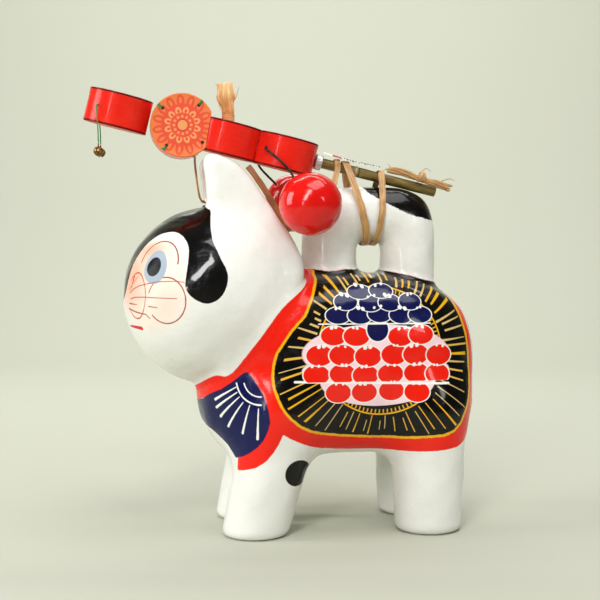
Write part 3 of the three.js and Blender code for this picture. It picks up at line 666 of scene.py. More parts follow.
SLIP_RED = (186, 16, 18)
SLIP_MARK = (26, 18, 18)
STUDIO_PAPER = (188, 190, 174)
STUDIO_SHADE = (180, 182, 166)

LACQUER_SPECULAR = 0.13
COAT_ROUGHNESS = 0.07
BRUSH_DEPTH = 0.00035


def finish_lacquer(shader, colour, place, shine=0.13, coat=0.3, polish=None):
    """Brushed lacquer over moulded paper, glossier where the polish is 1"""
    wobble = noise(place, 0.028, 3.0, 0.55)
    brush = noise(Ink.vector("MULTIPLY", place, (0.35, 0.35, 1.0)), 0.9, 3.0, 0.6)
    fine = noise(place, 2.6, 2.0, 0.6)
    colour = over(colour, wobble.above(0.62, 0.3) * 0.05, GRIME)
    rough = brush * 0.16 + shine
    if polish is None:
        shader.inputs["Coat Weight"].default_value = coat
    else:
        rough = rough - (polish * 0.14 - 0.14)
        Ink.feed(shader.inputs["Coat Weight"], polish * 0.9 + 0.04)
    shader.inputs["Specular IOR Level"].default_value = LACQUER_SPECULAR
    shader.inputs["Coat Roughness"].default_value = COAT_ROUGHNESS
    height = brush * 0.5 + noise(place, 0.16, 2.0, 0.5) * 2.2 + fine * 0.12
    finish(shader, colour, rough, height, 0.55, BRUSH_DEPTH)


def base_paint(place):
    """White ground with the large areas that are painted on it"""
    ragged = noise(place, 0.55, 3.0, 0.6) - 0.5
    shade = noise(place, 0.045, 3.0, 0.6)
    colour = over(WHITE, shade.above(0.5, 0.5) * 0.35, OFF_WHITE)
    colour = over(colour, attribute("ear_pink"), EAR_PINK)
    colour = painted(colour, attribute("red_area") + ragged * 0.5, RED, 0.35)
    colour = painted(colour, attribute("cap_area") + ragged * 0.5, BLACK, 0.35)
    colour = painted(colour, attribute("tail_area") + ragged * 2.2, BLACK, 0.5)
    colour = painted(colour, attribute("spot_area") + ragged * 0.6, BLACK, 0.35)
    return colour


def plain_material():
    material, shader = new_material("dog_white_lacquer")
    place = local_mm()
    finish_lacquer(shader, base_paint(place), place)
    return material


# Face: coordinates are arcs on the head, across and up, in millimetres
BROW = {"centre": (41.8, 21.5), "half": (15.1, 13.6), "end": 20.4}
EYE = {"centre": (40.8, 18.6), "half": (8.8, 10.4), "tilt": math.radians(-12)}
PUPIL = {"centre": (-0.9, 0.2), "half": (5.456, 5.824)}
NOSE = {"centre": (26.5, 1.3), "half": (9.3, 13.3), "start": 19}
CHEEK = {"centre": (50.7, -0.9), "half": (12.7, 13.4), "gap_before": 41, "gap_low": -9.5, "gap_high": 3}
WHISKERS = [
    ([(19.7, 2.7), (24.5, 5.1), (29.8, 7), (36, 8.3), (45.3, 9.8), (57.5, 10.3), (62.3, 9.7)], 0.75, 0.45),
    ([(21, -0.8), (26.6, 0.4), (35.4, 0.7), (58, 0.3)], 0.7, 0.5),
    ([(19.2, -3.4), (27.7, -3.8)], 1.0, 0.4),
    ([(17.8, -6.4), (25.5, -8.1), (31.7, -8.9), (35.8, -9.2), (38.5, -11.5)], 1.0, 0.6),
    ([(38.4, -4.5), (45, -5)], 0.7, 0.5),
]
MOUTH = [(12, -17.1), (17, -17.2), (28.4, -18)]
NOSTRIL = [(22.7, 12.1), (22.1, 9.4), (20.8, 4.6)]
NOSTRIL_LINE = [(27.6, 12.3), (17.7, 4.4)]
# soft paint: centre, half sizes, edge, softness, weight, tone, and whether it lies over the cap
FACE_GROUND = [
    ((38, 10), (28, 27), 1, 0.5, 1, CREAM, False),
    ((19, 12), (21, 21), 0.75, 0.9, 0.7, BLUSH, False),
    ((33, 29), (17, 7.5), 0.7, 0.9, 0.7, BLUSH, False),
    ((50, -2), (15, 14), 0.5, 1.0, 0.25, CHEEK_TONE, True),
]


def face_material():
    material, shader = new_material("dog_painted_face")
    place = local_mm()
    u, v = attribute("face_u"), attribute("face_v")
    where = combine(u, v)
    colour = base_paint(place)
    on_head = attribute("head_skin")
    inside = attribute("cap_area").above(0)
    for centre, half, edge, soft, weight, tone, over_cap in FACE_GROUND:
        area = oval(where, centre, half).below(edge, soft) * on_head * weight
        colour = over(colour, area if over_cap else area * inside, tone)

    def drawn(distance, tone, weight=1.0):
        return over(colour, distance.below(0, 0.3) * on_head * weight, tone)

    def ring(shape, width):
        edge = (oval(where, shape["centre"], shape["half"]) - 1).size()
        return edge * min(shape["half"]) - width / 2

    uneven = noise(place, 0.35, 2.0, 0.6) - 0.5
    colour = drawn(ring(NOSE, 0.6).most(NOSE["start"] - u) + uneven * 0.25, NOSE_LINE)
    gap = (u - CHEEK["gap_before"]).most((v - CHEEK["gap_high"]).most(CHEEK["gap_low"] - v))
    colour = drawn(ring(CHEEK, 0.72).most(0 - gap) + uneven * 0.3, BROWN)
    # the eye lies over the cheek line
    c, s = math.cos(EYE["tilt"]), math.sin(EYE["tilt"])
    off_u, off_v = u - EYE["centre"][0], v - EYE["centre"][1]
    in_eye = combine(off_u * c - off_v * s, off_u * s + off_v * c)
    colour = over(colour, oval(in_eye, (0, 0), EYE["half"]).below(1, 0.05) * on_head, EYE_GREY)
    colour = over(colour, oval(in_eye, PUPIL["centre"], PUPIL["half"]).below(1, 0.06) * on_head, BLACK)
    colour = drawn(ring(BROW, 0.8).most(BROW["end"] - v) + uneven * 0.3, BROW_LINE)
    for points, width, end_width in WHISKERS:
        colour = drawn(polyline(where, points, width, end_width), BROWN, weight=0.9)
    colour = drawn(polyline(where, NOSTRIL, 1.7, 0.5), NOSE_RED)
    colour = drawn(polyline(where, NOSTRIL_LINE, 0.5), NOSTRIL_TONE)
    colour = drawn(polyline(where, MOUTH, 0.9, 2.4), NOSE_RED)
    finish_lacquer(shader, colour, place, polish=attribute("cap_area").below(0))
    return material


# Blanket: coordinates are x and z on the side. Each row of berries has its tone, height, half
# sizes, the height that it is cut at, and its berries, from 11 mm ahead of the dog's middle
BERRY_ROWS = [
    (RED, 84.6, 7.0, 5.4, None, (26.2, 42.0, 56.9, 72.2)),
    (RED, 94.6, 7.2, 5.4, 90.4, (14.2, 28.4, 42.6, 56.6, 72.0, 85.4)),
    (RED, 105.4, 7.4, 5.6, None, (15.4, 29.2, 43.8, 58.6, 72.4, 85.8)),
    (RED, 116.3, 7.2, 5.2, None, (24.0, 37.4, 62.4, 75.6)),
    (NAVY, 128.2, 6.8, 4.4, 123.2, (26.8, 39.2, 51.6, 63.4, 75.4)),
    (NAVY, 135.1, 6.4, 4.4, 123.2, (32.0, 45.6, 58.0, 69.6)),
    (NAVY, 141.6, 6.6, 3.8, 123.2, (40.4, 53.8)),
]
BERRY_START = 11.0
LOW_LINE_ROW = 1
HIGH_LINE_ROW = 4
LOW_LINE = ((-9.4, 90.9), (80.4, 88.6), 1.3)
HIGH_LINE = ((4.6, 123.3), (70.4, 123.1), 0.7)
PETAL = {"centre": (38.4, 120), "half": (6.2, 6.6), "top": 123}
PALE_GROUND = [((38.2, 106.4), (43.4, 16.6)), ((38.4, 90.8), (33.4, 14.4)), ((38.2, 97.0), (43.4, 9.0))]
RING = {"centre": (40.2, 107.8), "radius": 36.4}
RAY_COUNT = 62
TICKS_PER_RAY = 1.5


def blanket_rays(colour, x, z, panel):
    """A gold ring with ticks, and strokes around it, each with its own length, weight and shade"""
    off_x, off_z = x - RING["centre"][0], z - RING["centre"][1]
    far = Ink.vector("LENGTH", combine(off_x, off_z), out=1)
    past = far - RING["radius"]
    turn = Ink.math("ARCTAN2", off_z, off_x) * (RAY_COUNT / math.tau)
    turn = turn + past * 0.006 * (Ink.math("SINE", turn * 0.7) * 2.0)
    cell = Ink.math("FLOOR", turn)
    lot, end_lot, tone_lot = chance(cell), chance(cell + 91.7), chance(cell + 37.3)
    low = (RING["centre"][1] - 18 - z).above(0, 24)
    hook = Ink.math("SIGN", off_x) * (past * past * (low * 0.0024))
    sway = Ink.math("FRACT", turn) - 0.5 - (lot - 0.5) * 0.45
    sideways = (sway * far * (math.tau / RAY_COUNT) + hook * 0.3).size()
    thick = (far - 42) * (tone_lot - 0.4) * 0.08 + (1.4 - low) * 0.42
    edge = (sideways - thick.most(0.24)).most(lot * 4 + 37.2 - far)
    edge = edge.most(panel + end_lot * 4.5 + 1.4)
    colour = painted(colour, edge, over(PALE_GOLD, tone_lot.above(0.4, 0.4), GOLD))
    colour = painted(colour, past.size() - 0.42, GOLD)
    ticks = (Ink.math("FRACT", turn * TICKS_PER_RAY) - 0.5).size()
    ticks = ticks * far * (math.tau / RAY_COUNT / TICKS_PER_RAY) - 0.32
    return painted(colour, ticks.most((past + 1.7).size() - 1.1), GOLD)


def blanket_material():
    material, shader = new_material("dog_painted_blanket")
    place = local_mm()
    x, y, z = parts(place)
    where = combine(x, z)
    outline, on_tail = attribute("panel_area"), attribute("on_tail")
    panel = outline.most(on_tail)
    ragged = noise(place, 0.5, 3.0, 0.6) - 0.5
    colour = painted(base_paint(place), panel + ragged * 0.5, BLACK, 0.35)
    border = (outline + 0.4).size().most(on_tail + 1) - (ragged + 0.75)
    colour = blanket_rays(painted(colour, border, GOLD), x, z, panel)

    # pale ground behind the red rows, then each berry from the lowest row up
    high, low, middle = (oval(where, centre, half) for centre, half in PALE_GROUND)
    ground = high.least(low).least(middle).below(1, 0.02)
    colour = over(colour, ground * (z - PETAL["top"]).below(0), PINK_WHITE)
    berry_dots = []
    number = 0
    for row, (tone, height, half_x, half_z, cut, middles) in enumerate(BERRY_ROWS):
        if row == LOW_LINE_ROW:
            colour = painted(colour, stroke(where, *LOW_LINE), LINE_WHITE)
        if row == HIGH_LINE_ROW:
            petal = oval(where, PETAL["centre"], PETAL["half"])
            colour = over(colour, petal.below(1.12, 0.04) * (z - PETAL["top"] - 1).below(0), LINE_WHITE)
            colour = over(colour, petal.below(1, 0.04) * (z - PETAL["top"]).below(0), NAVY)
            colour = painted(colour, stroke(where, *HIGH_LINE), LINE_WHITE)
        for middle in middles:
            number += 1
            jog_x = math.sin(number * 2.4) * 0.5
            jog_z = math.cos(number * 4.1) * 0.5
            centre = (middle - BERRY_START + jog_x, height + jog_z)
            berry = oval(where, centre, (half_x * 1.04, half_z * 1.05))
            rim, fill = berry.below(1.09, 0.04), berry.below(1, 0.04)
            if cut is not None:
                above_cut = (cut - z).below(0)
                rim, fill = rim * above_cut, fill * above_cut
            colour = over(over(colour, rim, LINE_WHITE), fill, tone)
            berry_dots.append((centre[0] + jog_x * 2, centre[1] + half_z * 0.92, number))
    # two white dots on each berry
    for dot_x, dot_z, number in berry_dots:
        spread = 1.5 + math.sin(number * 1.7) * 0.5
        size = 0.95 + math.cos(number * 2.9) * 0.25
        slant = math.sin(number * 3.1) * 0.25
        off = combine((x - dot_x).size() - spread, z - dot_z - (x - dot_x) * slant)
        colour = painted(colour, Ink.vector("LENGTH", off, out=1) - size, LINE_WHITE)
    finish_lacquer(shader, colour, place, shine=0.12, coat=0.4)
    return material


# Bib: coordinates are the arc round the chest, and z
BIB_CENTRE_X = -15
BIB_RADIUS = 45
BIB_OUTLINE = [
    (0, 77), (8, 77.5), (16.7, 78.9), (24.5, 82.4), (33.1, 85.9), (40.3, 90.4), (45.3, 94.5),
    (49, 96.8), (51.5, 94.2), (54.8, 89.7), (58.6, 84.4), (60.7, 79), (62.2, 73.1), (62.7, 68),
    (61.2, 62.7), (59, 57.9), (55.5, 53.8), (50.8, 50.4), (45.9, 47.9), (38.4, 46), (34.4, 49.6),
    (30.9, 52.8), (23.3, 56.9), (18.2, 60.5), (8, 63.4), (0, 64.5),
]
BIB_RAYS = [
    ((42.6, 87.6), (28.9, 79.7)),
    ((43.2, 84.6), (29, 75.1)),
    ((44.8, 82.1), (30.8, 69.9)),
    ((47.2, 79.2), (35.8, 64.5)),
    ((51.2, 77.7), (46.1, 61.5)),
    ((56.3, 75.9), (55.6, 58.8)),
]
BIB_ARC_CENTRE = (57, 92.6)
BIB_ARCS = [(14.5, 0.85), (10.0, 0.7)]


def bib_material():
    material, shader = new_material("dog_painted_bib")
    place = local_mm()
    where = combine(attribute("bib_s"), parts(place)[2])
    s, z, _ = parts(where)
    colour = base_paint(place)
    ragged = noise(place, 0.5, 3.0, 0.6) - 0.5
    inside = (attribute("bib_area") + ragged * 0.5).below(0)
    colour = over(colour, inside, NAVY)
    lines = None
    for start, end in BIB_RAYS:
        line = stroke(where, start, end, 0.5, 1.5)
        lines = line if lines is None else lines.least(line)
    away = Ink.vector("LENGTH", Ink.vector("SUBTRACT", where, (*BIB_ARC_CENTRE, 0)), out=1)
    for radius, width in BIB_ARCS:
        arc = ((away - radius).size() - width / 2).most(s - BIB_ARC_CENTRE[0] - 1)
        lines = lines.least(arc.most(z - BIB_ARC_CENTRE[1] + 2.5))
    colour = over(colour, (lines + ragged * 0.3).below(0, 0.3) * inside, LINE_WHITE)
    finish_lacquer(shader, colour, place)
    return material


# The dog's form, as one field that is below zero inside
def soft_min(a, b, blend):
    h = np.maximum(blend - np.abs(a - b), 0) / blend
    return np.minimum(a, b) - h * h * blend / 4


def soft_max(a, b, blend):
    return -soft_min(-a, -b, blend)


def round_block(x, y, z, a, b, c, power):
    u, v, w = np.abs(x) / a, np.abs(y) / b, np.abs(z) / c
    size = np.maximum(u**power + v**power + w**power, 1e-6) ** (1 / power)
    steep = (u ** (power - 1) / a) ** 2 + (v ** (power - 1) / b) ** 2 + (w ** (power - 1) / c) ** 2
    return (size - 1) / (np.sqrt(np.maximum(steep, 1e-12)) * size ** (1 - power))


def leg_field(x, side, z, foot_x, top_x):
    up = np.clip(z / LEG_ROOT_HEIGHT, -0.3, 1)
    radius = (FOOT_DIAMETER + (LEG_TOP_DIAMETER - FOOT_DIAMETER) * np.maximum(up, 0)) / 2
    above = np.maximum(z - LEG_ROOT_HEIGHT, 0)
    away = np.sqrt((x - foot_x - (top_x - foot_x) * up) ** 2 + (side - LEG_TRACK / 2) ** 2 + above**2)
    return away - radius


def ear_outline(x, z):
    drop = math.tan(SLOPE) * EAR_TOP_WIDTH / 2
    root_x = EAR_FRONT_X + EAR_LEAN
    corners = [
        (root_x, EAR_ROOT_HEIGHT),
        (EAR_FRONT_X, EAR_HEIGHT + drop),
        (EAR_FRONT_X + EAR_TOP_WIDTH, EAR_HEIGHT - drop),
        (root_x + EAR_ROOT_WIDTH, EAR_ROOT_HEIGHT),
    ]
    low_edge = (x - EAR_HEEL[0]) * 0.78 - (z - EAR_HEEL[1]) * 0.62
    outline = soft_max(x - EAR_BACK_X, low_edge, 2 * EAR_CORNER_RADIUS)
    for (ax, az), (bx, bz) in zip(corners, corners[1:]):
        edge = ((z - az) * (bx - ax) - (x - ax) * (bz - az)) / math.hypot(bx - ax, bz - az)
        outline = soft_max(outline, edge, 2 * EAR_CORNER_RADIUS)
    return outline


def ear_field(x, side, z):
    outline = ear_outline(x, z)
    down = np.clip((EAR_HEIGHT - z) / (EAR_HEIGHT - EAR_ROOT_HEIGHT), 0, 1)
    middle = (EAR_SPREAD_TOP + (EAR_SPREAD_ROOT - EAR_SPREAD_TOP) * down**1.6) / 2
    cup = EAR_CUP_DEPTH * np.maximum(0, 1 - np.maximum(outline + 14, 0) / 12)
    inner = middle - EAR_THICKNESS / 2 + cup - side
    outer = side - middle - EAR_THICKNESS / 2
    return soft_max(outline, soft_max(inner, outer, EAR_THICKNESS / 3), EAR_THICKNESS * 0.7)


def tail_field(x, y, z):
    up = np.maximum(z - TAIL_Z, 0)
    ring = (np.abs(x - TAIL_MIDDLE_X) ** TAIL_POWER + up**TAIL_POWER) ** (1 / TAIL_POWER)
    arch = np.hypot(ring - TAIL_HALF + TAIL_THICKNESS / 2, y) - TAIL_THICKNESS / 2
    return np.maximum(arch, BODY_Z - z)


def trunk_and_head(x, y, z):
    side = np.abs(y)
    half = (BACK_HEIGHT - BELLY_HEIGHT) / 2
    body = round_block(x - BODY_X, y, z - BODY_Z, BODY_LENGTH / 2, BODY_WIDTH / 2, half, BODY_POWER)
    radius = HEAD_DIAMETER / 2
    head = round_block(x - HEAD_X, y, z - HEAD_Z, radius, HEAD_WIDTH / 2, radius, 2)
    front = leg_field(x, side, z, FRONT_FOOT_X, FRONT_FOOT_X + FRONT_LEG_LEAN)
    hind = leg_field(x, side, z, HIND_FOOT_X, HIND_FOOT_X)
    chest = np.sqrt((x - CHEST_X) ** 2 + y**2 + (z - CHEST_Z) ** 2) - CHEST_DIAMETER / 2
    trunk = soft_min(body, chest, LEG_BLEND)
    trunk = soft_min(soft_min(trunk, front, LEG_BLEND), hind, LEG_BLEND)
    return trunk, soft_min(head, ear_field(x, side, z), EAR_BLEND)


def dog_field(x, y, z):
    trunk, head = trunk_and_head(x, y, z)
    whole = soft_min(soft_min(trunk, head, NECK_BLEND), tail_field(x, y, z), TAIL_BLEND)
    return soft_max(whole, -z, FOOT_EDGE_RADIUS)


SKIN_CELL = 1.6
PROBE = 0.02


def slopes(field, points):
    """Direction in which a field grows at each point"""
    parts_of_it = []
    for axis in range(3):
        step = np.zeros(3)
        step[axis] = PROBE
        high = field(*(points + step).T)
        low = field(*(points - step).T)
        parts_of_it.append((high - low) / (2 * PROBE))
    return np.stack(parts_of_it, 1)


def skin_of(field, low, high, cell):
    """Points and four-sided faces of a field's surface, from a grid of cells"""
    axes = [np.arange(a, b + cell, cell) for a, b in zip(low, high)]
    grid = field(*np.meshgrid(*axes, indexing="ij"))
    inside = grid < 0
    shape = np.array(grid.shape) - 1
    total = np.zeros((*shape, 3))
    count = np.zeros(shape)
    steps = np.array([(a, b) for a in (0, 1) for b in (0, 1)])
    edges = []
    for axis in range(3):
        others = [i for i in range(3) if i != axis]
        first = [slice(None)] * 3
        second = [slice(None)] * 3
        first[axis] = slice(0, -1)
        second[axis] = slice(1, None)
        g0, g1 = grid[tuple(first)], grid[tuple(second)]
        crossing = inside[tuple(first)] != inside[tuple(second)]
        index = np.argwhere(crossing)
        v0, v1 = g0[crossing], g1[crossing]
        place = index.astype(float)
        place[:, axis] += v0 / (v0 - v1)
        edges.append((axis, index, v0 < 0))
        for offset in steps:
            target = index.copy()
            target[:, others[0]] -= offset[0]
            target[:, others[1]] -= offset[1]
            ok = ((target >= 0) & (target < shape)).all(1)
            np.add.at(total, tuple(target[ok].T), place[ok])
            np.add.at(count, tuple(target[ok].T), 1)
    used = count > 0
    number = np.full(shape, -1)
    number[used] = np.arange(used.sum())
    points = total[used] / count[used][:, None] * cell + np.array([a[0] for a in axes])
    faces = []
    for axis, index, outward in edges:
        others = [(axis + 1) % 3, (axis + 2) % 3]
        loop = []
        for a, b in ((0, 0), (1, 0), (1, 1), (0, 1)):
            target = index.copy()
            target[:, others[0]] -= a
            target[:, others[1]] -= b
            loop.append(number[tuple(target.T)])
        quads = np.stack(loop, 1)
        quads[~outward] = quads[~outward][:, ::-1]
        faces.append(quads)
    for _ in range(4):
        value = field(*points.T)
        grow = slopes(field, points)
        grow_size = np.maximum((grow**2).sum(1), 0.05)
        move = np.clip(value / grow_size, -cell, cell)[:, None] * grow
        points = points - np.clip(move, -cell * 0.7, cell * 0.7)
    return points, np.concatenate(faces)


def polygon_distance(a, b, outline):
    """Distance to a closed outline in two coordinates, below zero inside"""
    nearest = np.full(a.shape, 1e9)
    inside = np.zeros(a.shape, bool)
    for (ax, ab), (bx, bb) in zip(outline, outline[1:] + outline[:1]):
        run = np.array([bx - ax, bb - ab], float)
        share = np.clip(((a - ax) * run[0] + (b - ab) * run[1]) / (run @ run), 0, 1)
        nearest = np.minimum(nearest, np.hypot(a - ax - share * run[0], b - ab - share * run[1]))
        crosses = (ab > b) != (bb > b)
        level = ax + (b - ab) * run[0] / (run[1] if run[1] else 1e-9)
        inside ^= crosses & (a < level)
    return np.where(inside, -nearest, nearest)


def rounded(outline, per_span=4):
    """The outline with its corners drawn as one smooth closed line"""
    flat = [(a, b, 0) for a, b in outline]
    return [tuple(p[:2]) for p in smooth_path(flat, per_span, loop=True)]


# Painted areas: arcs on the head for the cap, x and z for the blanket and its border
CAP_OUTLINE = [
    (-4, -4), (3, -3), (9, 0), (13, 4.5), (15.4, 11), (16.6, 17.5), (18.1, 25.2), (22.3, 33),
    (25.7, 36.4), (30.5, 40), (39.6, 42), (47.8, 41.8), (55, 39.2), (59.6, 35.3), (62.3, 31.1),
    (63.4, 25.1), (63.3, 15.7), (62.9, 10.4), (63.4, 5.9), (66.2, 2), (69.8, -0.6), (75.5, -2.5),
    (80.8, -1), (84.8, 2.5), (87.5, 8.2), (88.2, 14), (87, 18.6), (84.9, 22.7), (82.2, 29.1),
    (79.4, 35.4), (78.4, 40.9), (77.4, 47.5), (78, 58), (84, 66), (92, 74), (120, 84), (60, 92),
    (-4, 92),
]
PANEL_OUTLINE = [
    (5.2, 148.3), (5.4, 175), (79.6, 175), (79.4, 147), (85, 142), (88.1, 135.9), (92, 126.5),
    (94.9, 116.8), (96.6, 105), (97.3, 92.6), (96.4, 84), (94.1, 76.2), (88.3, 64.9), (83.5, 60.8),
    (76.9, 58.5), (54.3, 57), (37, 57.3), (19.5, 58.4), (8, 60), (-0.1, 62.2), (-7, 65.6),
    (-12.6, 70.4), (-17, 75.8), (-19.7, 82), (-21.6, 87.5), (-22.1, 92.9), (-21.6, 100),
    (-19.7, 106.8), (-11.8, 119), (-3.3, 128.2), (1, 137.3),
]
RED_OUTLINE = [
    (-90, 73), (-66, 74), (-57.9, 80.5), (-52, 72), (-45, 58), (-40.4, 47), (-40.9, 39.4),
    (-37.5, 40.1), (-31.1, 42.2), (-25.3, 46.3), (-21.1, 51.6), (-18.3, 56.7), (-16.3, 61.6),
    (-12.6, 59.2), (-6.4, 56.2), (0, 53.4), (8, 51), (16.4, 49.6), (30, 49.1), (45, 49),
    (62, 49.4), (77.1, 50.2), (86, 51.4), (92.5, 54.5), (96.8, 60), (99, 69), (100.6, 82),
    (101.2, 95), (99.6, 110), (96, 126), (92, 138), (86.5, 146), (84, 152), (84, 175),
    (3.6, 175), (-1, 157), (-6, 150), (-60, 140), (-90, 100),
]
TAIL_OUTLINE = [
    (36, 215), (36.6, 203), (39.5, 199), (44, 196), (48.3, 193.6), (55.3, 190), (61.3, 187),
    (67.5, 185.2), (74, 183.6), (81, 182.4), (95, 183), (95, 215),
]
SPOT = {"centre": (-6.6, 38.0), "half": (8.2, 7.8)}
TAIL_FOOT_Z = 140
CRACK = 0.3


def papier_mache(points):
    """The small unevenness of hand-pasted paper"""
    x, y, z = points.T
    wave = np.sin(x * 0.31 + y * 0.17) * np.sin(z * 0.27 + 1.3) + np.sin(y * 0.38 + z * 0.21) * 0.7
    ripple = np.sin(x * 0.83 + z * 0.61 + 0.4) * np.sin(y * 0.77 - z * 0.52) * 0.35
    return (wave * 0.16 + ripple * 0.12) * np.clip(z / 12, 0, 1)


def make_dog():
    low = (HEAD_FRONT_X - 3, -HEAD_WIDTH / 2 - 4, -3)
    high = (RUMP_X + 4, HEAD_WIDTH / 2 + 4, EAR_HEIGHT + 6)
    points, faces = skin_of(dog_field, low, high, SKIN_CELL)
    normals = slopes(dog_field, points)
    normals /= np.maximum(np.linalg.norm(normals, axis=1, keepdims=True), 1e-6)
    points = points + normals * papier_mache(points)[:, None]
    points[:, 2] = np.maximum(points[:, 2], 0)
    x, y, z = points.T
    side = np.abs(y)

    from_head = points - (HEAD_X, 0, HEAD_Z)
    reach = np.linalg.norm(from_head, axis=1)
    radius = HEAD_DIAMETER / 2
    face_u = np.arctan2(side, -from_head[:, 0]) * radius
    face_v = np.arcsin(np.clip(from_head[:, 2] / reach, -1, 1)) * radius
    head_skin = np.clip((radius + 2.6 - reach) / 1.2, 0, 1)
    cap = polygon_distance(face_u, face_v, rounded(CAP_OUTLINE))
    cap = np.maximum(cap, reach - radius - 4)
    panel = polygon_distance(x, z, PANEL_OUTLINE)
    red = polygon_distance(x, z, RED_OUTLINE)
    trunk, head = trunk_and_head(x, y, z)
    red = np.maximum(red, np.clip(trunk - head, -9, 9) + CRACK)
    tail = polygon_distance(x, z, TAIL_OUTLINE)
    spot = np.hypot((x - SPOT["centre"][0]) / SPOT["half"][0], (z - SPOT["centre"][1]) / SPOT["half"][1])
    spot = np.where(side > LEG_TRACK / 3, (spot - 1) * SPOT["half"][0], 9)
    bib_s = np.arctan2(side, -(x - BIB_CENTRE_X)) * BIB_RADIUS
    bib = polygon_distance(bib_s, z, BIB_OUTLINE)
    inward = np.clip(-normals[:, 1] * np.sign(y) * 2, 0, 1)
    in_cup = np.clip((-ear_outline(x, z) - 1.5) / 3, 0, 1)
    ear_pink = inward * in_cup * np.clip((reach - radius - 3) / 5, 0, 1) * (x < -10)
    # a white tail stands over the painted back
    on_tail = np.where(z > TAIL_FOOT_Z, 1 - tail_field(x, y, z), -9)
    red = np.maximum(red, on_tail)

    data = bpy.data.meshes.new("painted_dog")
    data.from_pydata(metres(points).tolist(), [], faces.tolist())
    values = {
        "face_u": face_u,
        "face_v": face_v,
        "head_skin": head_skin,
        "cap_area": cap,
        "panel_area": panel,
        "on_tail": on_tail,
        "red_area": red,
        "tail_area": tail,
        "spot_area": spot,
        "bib_s": bib_s,
        "bib_area": bib,
        "ear_pink": ear_pink,
    }
    for name, value in values.items():
        layer = data.attributes.new(name, "FLOAT", "POINT")
        layer.data.foreach_set("value", value.astype(np.float32))
    centre = points[faces].mean(1)
    reach_f = reach[faces].mean(1)
    on_face = (reach_f < radius + 4) & (face_v[faces].mean(1) < 50) & (centre[:, 0] < -20)
    on_panel = panel[faces].min(1) < 2
    on_bib = (bib[faces].min(1) < 2) & (centre[:, 2] < 100) & (centre[:, 0] < -18) & (reach_f > radius + 1)
    index = np.zeros(len(faces), np.int32)
    index[on_face] = 1
    index[on_bib] = 3
    index[on_panel] = 2
    for make in (plain_material, face_material, blanket_material, bib_material):
        data.materials.append(make())
    data.polygons.foreach_set("material_index", index)
    data.polygons.foreach_set("use_smooth", np.ones(len(faces), bool))
    data.update()
    piece = link("painted_dog", data)
    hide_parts("dog")
    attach(piece, "root")


make_dog()


# Meshes in general
def make_piece(name, points, faces, material, nodes, materials=(), index=None, uv=None, crease=40):
    data = bpy.data.meshes.new(name)
    data.from_pydata(metres(points).tolist(), [], [tuple(int(i) for i in face) for face in faces])
    data.materials.append(material)
    for extra in materials:
        data.materials.append(extra)
    if index is not None:
        data.polygons.foreach_set("material_index", np.asarray(index, np.int32))
    if uv is not None:
        layer = data.uv_layers.new(name="along")
        corner = np.empty(len(data.loops), np.int32)
        data.loops.foreach_get("vertex_index", corner)
        layer.data.foreach_set("uv", np.asarray(uv, np.float32)[corner].ravel())
    piece = link(name, data)
    tidy_mesh(data, crease)
    if nodes:
        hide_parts(*nodes)
    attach(piece, "root")
    return piece


def tidy_mesh(data, crease):
    shape = bmesh.new()
    shape.from_mesh(data)
    bmesh.ops.recalc_face_normals(shape, faces=shape.faces)
    limit = math.radians(crease)
    for edge in shape.edges:
        edge.smooth = len(edge.link_faces) == 2 and edge.calc_face_angle(0) < limit
    for face in shape.faces:
        face.smooth = True
    shape.to_mesh(data)
    shape.free()


def rings_skin(rings, closed=False, caps=True):
    """Faces between rings of the same number of points"""
    count, sides = len(rings), len(rings[0])
    faces = []
    for i in range(count if closed else count - 1):
        j = (i + 1) % count
        for k in range(sides):
            m = (k + 1) % sides
            faces.append((i * sides + k, i * sides + m, j * sides + m, j * sides + k))
    if caps and not closed:
        faces.append(tuple(range(sides))[::-1])
        faces.append(tuple((count - 1) * sides + k for k in range(sides)))
    return np.concatenate(rings), faces


def turned(profile, sides, axis="z", closed=False):
    """A body turned from (radius, height) pairs, whose ends lie on the axis unless it is closed"""
    angle = np.arange(sides) * math.tau / sides
    rings = []
    for radius, height in profile:
        a, b = radius * np.cos(angle), radius * np.sin(angle)
        c = np.full(sides, float(height))
        rings.append(np.stack({"z": (a, b, c), "x": (c, a, b), "y": (b, c, a)}[axis], 1))
    return rings_skin(rings, closed)


# Drums
def drum_lacquer():
    material, shader = new_material("drum_red_lacquer")
    place = local_mm()
    streak = noise(Ink.vector("MULTIPLY", place, (0.2, 0.2, 1.6)), 0.8, 3.0, 0.6)
    colour = over(DRUM_RED, streak.above(0.55, 0.4) * 0.35, DRUM_STREAK)
    colour = over(colour, noise(place, 0.09, 2.0).above(0.6, 0.2) * 0.25, DRUM_CLOUD)
    finish_lacquer(shader, colour, place, shine=0.14, coat=0.2)
    return material


def drum_edge():
    material, shader = new_material("drum_dark_edge")
    place = local_mm()
    colour = over(EDGE_RED, noise(place, 0.5, 3.0).above(0.55, 0.2) * 0.5, EDGE_DARK)
    finish_lacquer(shader, colour, place, shine=0.3, coat=0.1)
    return material


# The printed flower: tones, how many petals and loops, and the inner flower's radius
PRINT_ORANGE = (238, 120, 52)
PRINT_RED = (232, 66, 34)
PRINT_DEEP = (214, 42, 26)
PRINT_LOOP = (244, 160, 96)
PRINT_DOT = (240, 150, 90)
PRINT_HEART = (236, 156, 84)
PRINT_FIBRE = (250, 190, 130)
PETALS = 15
LOOPS = 12
INNER_FLOWER = 12.2


